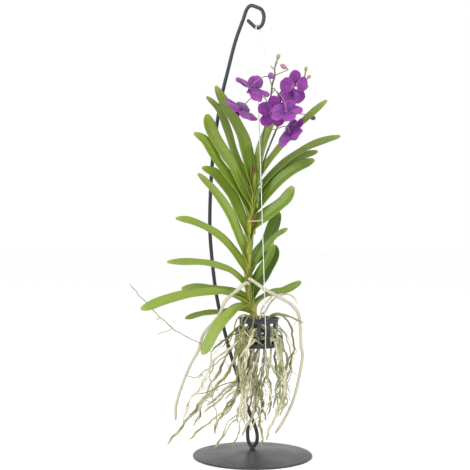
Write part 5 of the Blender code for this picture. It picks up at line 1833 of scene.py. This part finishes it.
# Small roots that leave the crown over the basket's rim: points, radius and tone
RIM_ROOTS = (
    (mm((14, 2, 260), (18, 6, 278), (28, 8, 292), (37, 8, 301), (41, 6, 312)), 0.0019, 0),
    (mm((20, 4, 262), (34, 8, 290), (50, 8, 302), (66, 6, 306), (78, 4, 300), (85, 2, 289)), 0.0017, 0.3),
    (mm((10, 4, 260), (24, 6, 274), (34, 10, 288), (50, 12, 305)), 0.0013, 0.85),
    (mm((0, 0, 260), (-12, -12, 268), (-24, -20, 266), (-32, -24, 254), (-36, -24, 236),
        (-46, -20, 212)), 0.0013, 1),
    (mm((2, -8, 260), (-6, -24, 268), (-12, -36, 262), (-18, -41, 246), (-24, -40, 226),
        (-28, -34, 196)), 0.0014, 0.8),
    (mm((6, -10, 260), (4, -28, 268), (2, -41, 261), (-2, -45, 244), (-10, -45, 226),
        (-18, -40, 203)), 0.0012, 1.1),
    (mm((-2, -4, 260), (-14, -24, 267), (-21, -34, 256), (-12, -44, 236), (4, -46, 224),
        (20, -44, 214)), 0.0013, 0.6),
)

FREE_ROOTS = {
    "aerial_root_left": mm(
        (-8, -9.7, 326.2), (-13, -14.8, 328), (-29, -23.4, 315), (-50.8, -25.6, 294.8), (-65, -19, 264.6),
        (-91.5, -12, 232.5), (-102, -10, 200.7), (-117.9, -8, 171.6), (-134, -4, 131.7), (-144.6, 0, 94.7),
        (-145.2, 2, 68),
    ),
    "aerial_root_right": mm(
        (-6, -7.5, 335.2), (2, -12.8, 331), (25.1, -16, 314.9), (52.9, -16, 299.8), (75.8, -12, 284.6),
        (88.5, -8, 261.8), (91.5, -6, 211.3), (94.1, -6, 187.5), (86.2, -8, 142.3), (75.6, -12, 105.3),
        (59.7, -18, 73.5), (42.3, -24, 48.2),
    ),
}


@dataclass
class Roots:
    """The root crown in the basket, the hanging roots with their rootlets, and the two free roots."""

    basket: Basket
    stand: Stand
    free_radius: float = 0.0033 * 1.04
    core_radii: tuple[float, float, float] = (0.0250, 0.0250, 0.0235)
    core_sink: float = 0.0007
    clear: float = 0.0115
    loop_top: float = 0.061
    lowest: float = 0.018
    rootlets_each: int = 3
    inner_wraps: int = 22
    outer_wraps: int = 38
    wrap_sides: int = 8
    rng: np.random.Generator = field(default_factory=lambda: np.random.default_rng(11))

    @property
    def core(self) -> np.ndarray:
        """The crown's middle."""
        height = self.basket.floor + self.basket.wall + GAP + self.core_radii[2] - self.core_sink
        return np.array((*self.basket.centre, height))

    def exit_points(self, root: Root) -> list[np.ndarray]:
        """The points a root passes before its own path, from inside the crown to outside the basket.

        Args:
            root: The root.

        Returns:
            The points.
        """
        basket = self.basket
        centre = np.array((*basket.centre, 0.0))
        if root.way is Way.FREE:
            return [np.array(root.start)]
        if root.way is Way.FLOOR:
            slot, forward = root.start
            place = centre + (slot * basket.pitch, forward, basket.floor)
            start = place + UP * 0.021
            start[:2] = self.core[:2] + (place[:2] - self.core[:2]) * 0.7
            return [start, place + UP * 0.005, place - UP * 0.004]
        if root.way is Way.WALL:
            slot, height = root.start
            angle = 2 * math.pi * (slot + 0.5) / basket.slots
            out = np.array((math.cos(angle), math.sin(angle), 0))
            level = centre + UP * height
            inside, outside = basket.radius - 0.003, basket.radius + 0.005
            return [level + out * 0.018, level + out * inside, level + out * outside - UP * 0.001]
        angle, reach = root.start
        out = np.array((math.cos(math.radians(angle)), math.sin(math.radians(angle)), 0))
        level = centre + UP * (basket.top + 0.0050)
        return [level + out * 0.010 - UP * 0.016, level + out * 0.026, level + out * reach]

    def clear_of_rod(self, path: np.ndarray, front: bool) -> np.ndarray:
        """Moves a path in depth where it would meet the rod, so that it passes before or behind it.

        Args:
            path: The points.
            front: Whether it passes on the viewer's side.

        Returns:
            The moved points.
        """
        low = np.array(self.stand.route[17:23])[::-1]
        along = np.where(path[:, 2] > self.loop_top, np.interp(path[:, 2], low[:, 1], low[:, 0]), 0.0)
        rod_x, rod_y = along * math.cos(self.stand.turn), -along * math.sin(self.stand.turn)
        reach = np.where(path[:, 2] > 0.066, 0.020, 0.026)
        near = (np.abs(path[:, 0] - rod_x) < reach) & (path[:, 2] < 0.270)
        deep = path[:, 1]
        wanted = np.minimum(deep, rod_y - self.clear) if front else np.maximum(deep, rod_y + self.clear)
        depth = np.where(near, wanted, deep)
        eased = np.convolve(np.pad(depth, 2, mode="edge"), np.ones(5) / 5, "valid")
        moved = path.copy()
        moved[:, 1] = np.where(near, depth, eased)
        return moved

    def line(self, root: Root) -> np.ndarray:
        """A root's middle line with small bends.

        Args:
            root: The root.

        Returns:
            Points about 2.5 mm apart.
        """
        depth = np.linspace(root.near, root.far, len(root.path))
        places = [(along, deep, height) for (along, height), deep in zip(root.path, depth)]
        path = smooth_path([*self.exit_points(root), *places], 0.0025)
        run = distances(path)
        fade = np.clip((run - 0.035) / 0.03, 0, 1)
        bend = np.zeros_like(path)
        for axis in (0, 1):
            for pitch, size in ((0.045, 0.0016), (0.019, 0.0007)):
                bend[:, axis] += size * np.sin(2 * math.pi * run / pitch + self.rng.uniform(0, 6.28))
        return self.clear_of_rod(path + bend * fade[:, None], root.far < 0)

    def skin(self, path: np.ndarray, radius: float, tone: float, sides: int = 12) -> Surface:
        """A root's skin: its radius swells and shrinks by a tenth and is drawn in over the last 15 mm.

        Args:
            path: The middle line.
            radius: The root's radius.
            tone: 0 for silvery cream and 1 for olive.
            sides: Points round it.

        Returns:
            The closed surface.
        """
        run = distances(path)
        swell = 1.0
        for high, pitch in ((0.06, 0.006), (0.05, 0.0023)):
            swell = swell + high * np.sin(run / pitch + self.rng.uniform(0, 6.28))
        slim = 1 - 0.22 * shares(path)
        tip = np.clip(0.45 + (run[-1] - run) / 0.018, 0.45, 1)
        return tube(path, radius * swell * slim * tip, sides, np.array((0.25, 1.0, 0.05)), tone=tone)

    def rootlets(self, lines: list[tuple[np.ndarray, Root]]) -> list[Surface]:
        """Thin wiry side roots that branch from the hanging ones.

        Args:
            lines: The hanging roots' middle lines.

        Returns:
            Their skins.
        """
        made = []
        for path in [path for path, _ in lines for _ in range(self.rootlets_each)]:
            start = path[int(len(path) * self.rng.uniform(0.35, 0.9))]
            if start[2] < 0.045:
                continue
            out = np.array([self.rng.uniform(*ends) for ends in ((-1, 1), (-0.5, 0.5), (-1.3, 0.1))])
            size = min(self.rng.uniform(0.015, 0.045), start[2] - 0.025)
            out *= size
            side = np.array((self.rng.uniform(-1, 1), self.rng.uniform(-1, 1), 0)) * size * 0.25
            points = [start, start + out * 0.4 + side, start + out * 0.7 - side * 0.4, start + out]
            line = self.clear_of_rod(smooth_path(points, 0.002), start[1] < 0)
            line[:, 2] = np.maximum(line[:, 2], self.lowest)
            made.append(self.skin(line, self.rng.uniform(0.00035, 0.0006), self.rng.uniform(0.4, 1.2), 6))
        return made

    def crown(self) -> Surface:
        """The matted crown: an ellipsoid whose radius waves by a few per cent round it and along it.

        Returns:
            The closed surface.
        """
        polar = np.linspace(0.05, math.pi - 0.05, 34)[:, None]
        angle = np.linspace(0, 2 * math.pi, 56, endpoint=False)[None, :]
        uneven = 0.93 + 0.03 * np.sin(5 * angle + 3 * polar) + 0.025 * np.sin(9 * angle - 7 * polar)
        a, b, c = self.core_radii
        x, y = (size * np.sin(polar) * way(angle) * uneven for size, way in ((a, np.cos), (b, np.sin)))
        rings = self.core + np.stack([x, y, -c * np.cos(polar) * np.minimum(uneven, 1.0)], -1)
        return closed_loft(rings, {"along": (polar / math.pi) * np.ones_like(angle)})

    def wraps(self) -> list[Surface]:
        """Roots that wind round the crown inside the basket, on slanted rings of its ellipsoid.

        Returns:
            Their skins.
        """
        made = []
        a, b, c = self.core_radii
        for _ in range(self.inner_wraps):
            lift = self.rng.uniform(-0.8, 0.75)
            start = self.rng.uniform(0, 2 * math.pi)
            sweep = self.rng.uniform(1.2, 3.2) * self.rng.choice((-1, 1))
            t = np.linspace(0, 1, 30)
            angle = start + sweep * t
            height = np.clip(lift + 0.5 * np.sin(2.5 * t + start), -0.93, 0.86)
            ring = np.sqrt(1 - height**2)
            radius = self.rng.uniform(0.0011, 0.0023)
            grow = 1.0 + radius / a * 0.6
            x, y = a * grow * ring * np.cos(angle), b * grow * ring * np.sin(angle)
            path = self.core + np.stack([x, y, c * height], -1)
            made.append(self.skin(path, radius, self.rng.uniform(0.2, 1.1), self.wrap_sides))
        return made

    def followers(self, lines: list[tuple[np.ndarray, Root]]) -> list[Surface]:
        """Thinner roots that run beside the hanging ones and drift away from them towards their tips.

        Args:
            lines: The hanging roots' middle lines.

        Returns:
            Their skins.
        """
        made = []
        for path, root in lines:
            if root.way is Way.FREE or self.rng.uniform() < 0.15:
                continue
            share = shares(path)[:, None]
            drift = np.array((self.rng.uniform(-0.016, 0.016), self.rng.uniform(-0.008, 0.008), 0.0))
            phase = share * self.rng.uniform(9, 15) + np.array((0.0, 1.7, 3.0)) + self.rng.uniform(0, 6)
            wave = 0.0022 * np.sin(phase)
            keep = int(len(path) * self.rng.uniform(0.72, 1.0))
            moved = (path + drift * share**0.8 + wave * np.clip(share * 3, 0, 1))[:keep]
            line = self.clear_of_rod(moved, root.far < 0)
            radius = root.radius * self.rng.uniform(0.45, 0.8)
            made.append(self.skin(line, radius, self.rng.uniform(0.1, 0.9), self.wrap_sides))
        return made

    def creepers(self) -> list[Surface]:
        """Roots that creep over the left and the front of the basket's wall and off its foot.

        Returns:
            Their skins.
        """
        made = []
        basket = self.basket
        t = np.linspace(0, 1, 34)
        for number in range(self.outer_wraps):
            low, high = ((120, 268), (298, 380))[number % 4 == 3]
            start = math.radians(self.rng.uniform(low + 12, high - 8))
            angle = start + self.rng.uniform(-0.9, 0.7) * t + 0.12 * np.sin(7 * t + start)
            angle = np.clip(angle, math.radians(low), math.radians(high))
            top = basket.top - self.rng.uniform(0.012, 0.040)
            height = top - self.rng.uniform(0.020, 0.045) * t + 0.003 * np.sin(5 * t + 9 * start)
            radius = self.rng.uniform(0.0008, 0.0018)
            bulge = 0.004 * self.rng.uniform() * np.sin(math.pi * t) + 0.006 * t**2
            reach = basket.radius + 0.0022 + radius + bulge - 0.007 * np.clip(1 - t / 0.18, 0, 1)
            path = round_z(reach, angle, height) + (*basket.centre, 0)
            made.append(self.skin(path, radius, self.rng.uniform(0.3, 1.1), self.wrap_sides))
        return made

    def build(self, finishes: Finishes) -> None:
        """Makes the crown, the hanging roots and the two free roots.

        Args:
            finishes: The materials.
        """
        lines = [(self.line(root), root) for root in ROOTS]
        skins = [self.skin(path, root.radius, root.tone) for path, root in lines]
        skins += self.rootlets(lines) + self.wraps()
        bunch = Surface.joined(skins).to_object("hanging_roots", finishes.of(Plant.ROOT), "root_silver")
        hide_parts("root_bunch")
        fine = self.followers(lines) + self.creepers()
        for points, radius, tone in RIM_ROOTS:
            fine.append(self.skin(smooth_path(points, 0.002), radius, tone, self.wrap_sides))
        Surface.joined(fine).to_object("fine_roots", finishes.of(Plant.ROOT), "root_silver")
        self.crown().to_object("root_crown", finishes.of(Plant.CROWN), "root_silver")
        for node, points in FREE_ROOTS.items():
            skin = self.skin(smooth_path(points, 0.003), self.free_radius, 0.15, 16)
            made = skin.to_object(f"{node}_skin", finishes.of(Plant.CREAM_ROOT), "root_cream")
            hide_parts(node)


@dataclass
class Studio:
    """The pale floor, the soft light and the camera."""

    camera_place: tuple = (-0.033, -1.87, 0.418)
    lens: float = 75.75
    sensor: float = 36
    floor_side: float = 40

    def floor(self) -> None:
        """A large pale floor with a faint unevenness."""
        bpy.ops.mesh.primitive_plane_add(size=self.floor_side, location=(0, 0, 0))
        floor = bpy.context.object
        floor.name = "studio_floor"
        white, pale = (0.99, 0.99, 0.99), (0.98, 0.98, 0.98)
        finish = MottledFinish("pale_floor", 0.1, (white, pale, 0.7, 0.4), (0.9, 1.0), (40, 0.5, 0.0002))
        floor.data.materials.append(finish.build(Effects()))

    def lamp(self, name: str, place: tuple, aim: tuple, size: float, power: float) -> None:
        """One square soft light.

        Args:
            name: Its name.
            place: Where it stands.
            aim: The point it shines at.
            size: Its side in metres.
            power: Its power in watts.
        """
        light = bpy.data.lights.new(name, "AREA")
        light.energy = power
        light.size = size
        made = bpy.data.objects.new(name, light)
        bpy.context.scene.collection.objects.link(made)
        made.location = place
        way = np.array(aim, float) - np.array(place, float)
        flat = math.hypot(way[0], way[1])
        made.rotation_euler = (math.atan2(flat, -way[2]), 0, math.atan2(way[0], -way[1]) + math.pi)

    def build(self) -> None:
        """Sets up floor, light, sky and camera."""
        self.floor()
        world = bpy.data.worlds.new("studio_sky")
        bpy.context.scene.world = world
        world.use_nodes = True
        sky = world.node_tree.nodes["Background"]
        sky.inputs["Color"].default_value = (1, 1, 1, 1)
        sky.inputs["Strength"].default_value = 1.0
        self.lamp("key_light", (-1.4, -1.6, 1.9), (0, 0, 0.42), 1.4, 35)
        self.lamp("fill_light", (1.8, -1.2, 1.0), (0, 0, 0.35), 1.2, 13)
        camera = bpy.data.cameras.new("photo_camera")
        camera.lens = self.lens
        camera.sensor_width = self.sensor
        made = bpy.data.objects.new("photo_camera", camera)
        bpy.context.scene.collection.objects.link(made)
        made.location = self.camera_place
        made.rotation_euler = (math.radians(90), 0, 0)
        bpy.context.scene.camera = made
        bpy.context.scene.view_settings.view_transform = "Standard"


def main() -> None:
    """Builds every sub-assembly in order."""
    logging.basicConfig(level=logging.INFO, format="%(message)s")
    finishes = Finishes()
    stand, basket = Stand(), Basket()
    Studio().build()
    stand.build(frame, finishes)
    basket.build(finishes)
    Hanger(stand, basket).build(finishes)
    LeafyStem().build(finishes)
    Flowers().build(finishes)
    Roots(basket, stand).build(finishes)
    bpy.context.view_layer.update()


if __name__ == "__main__":
    main()
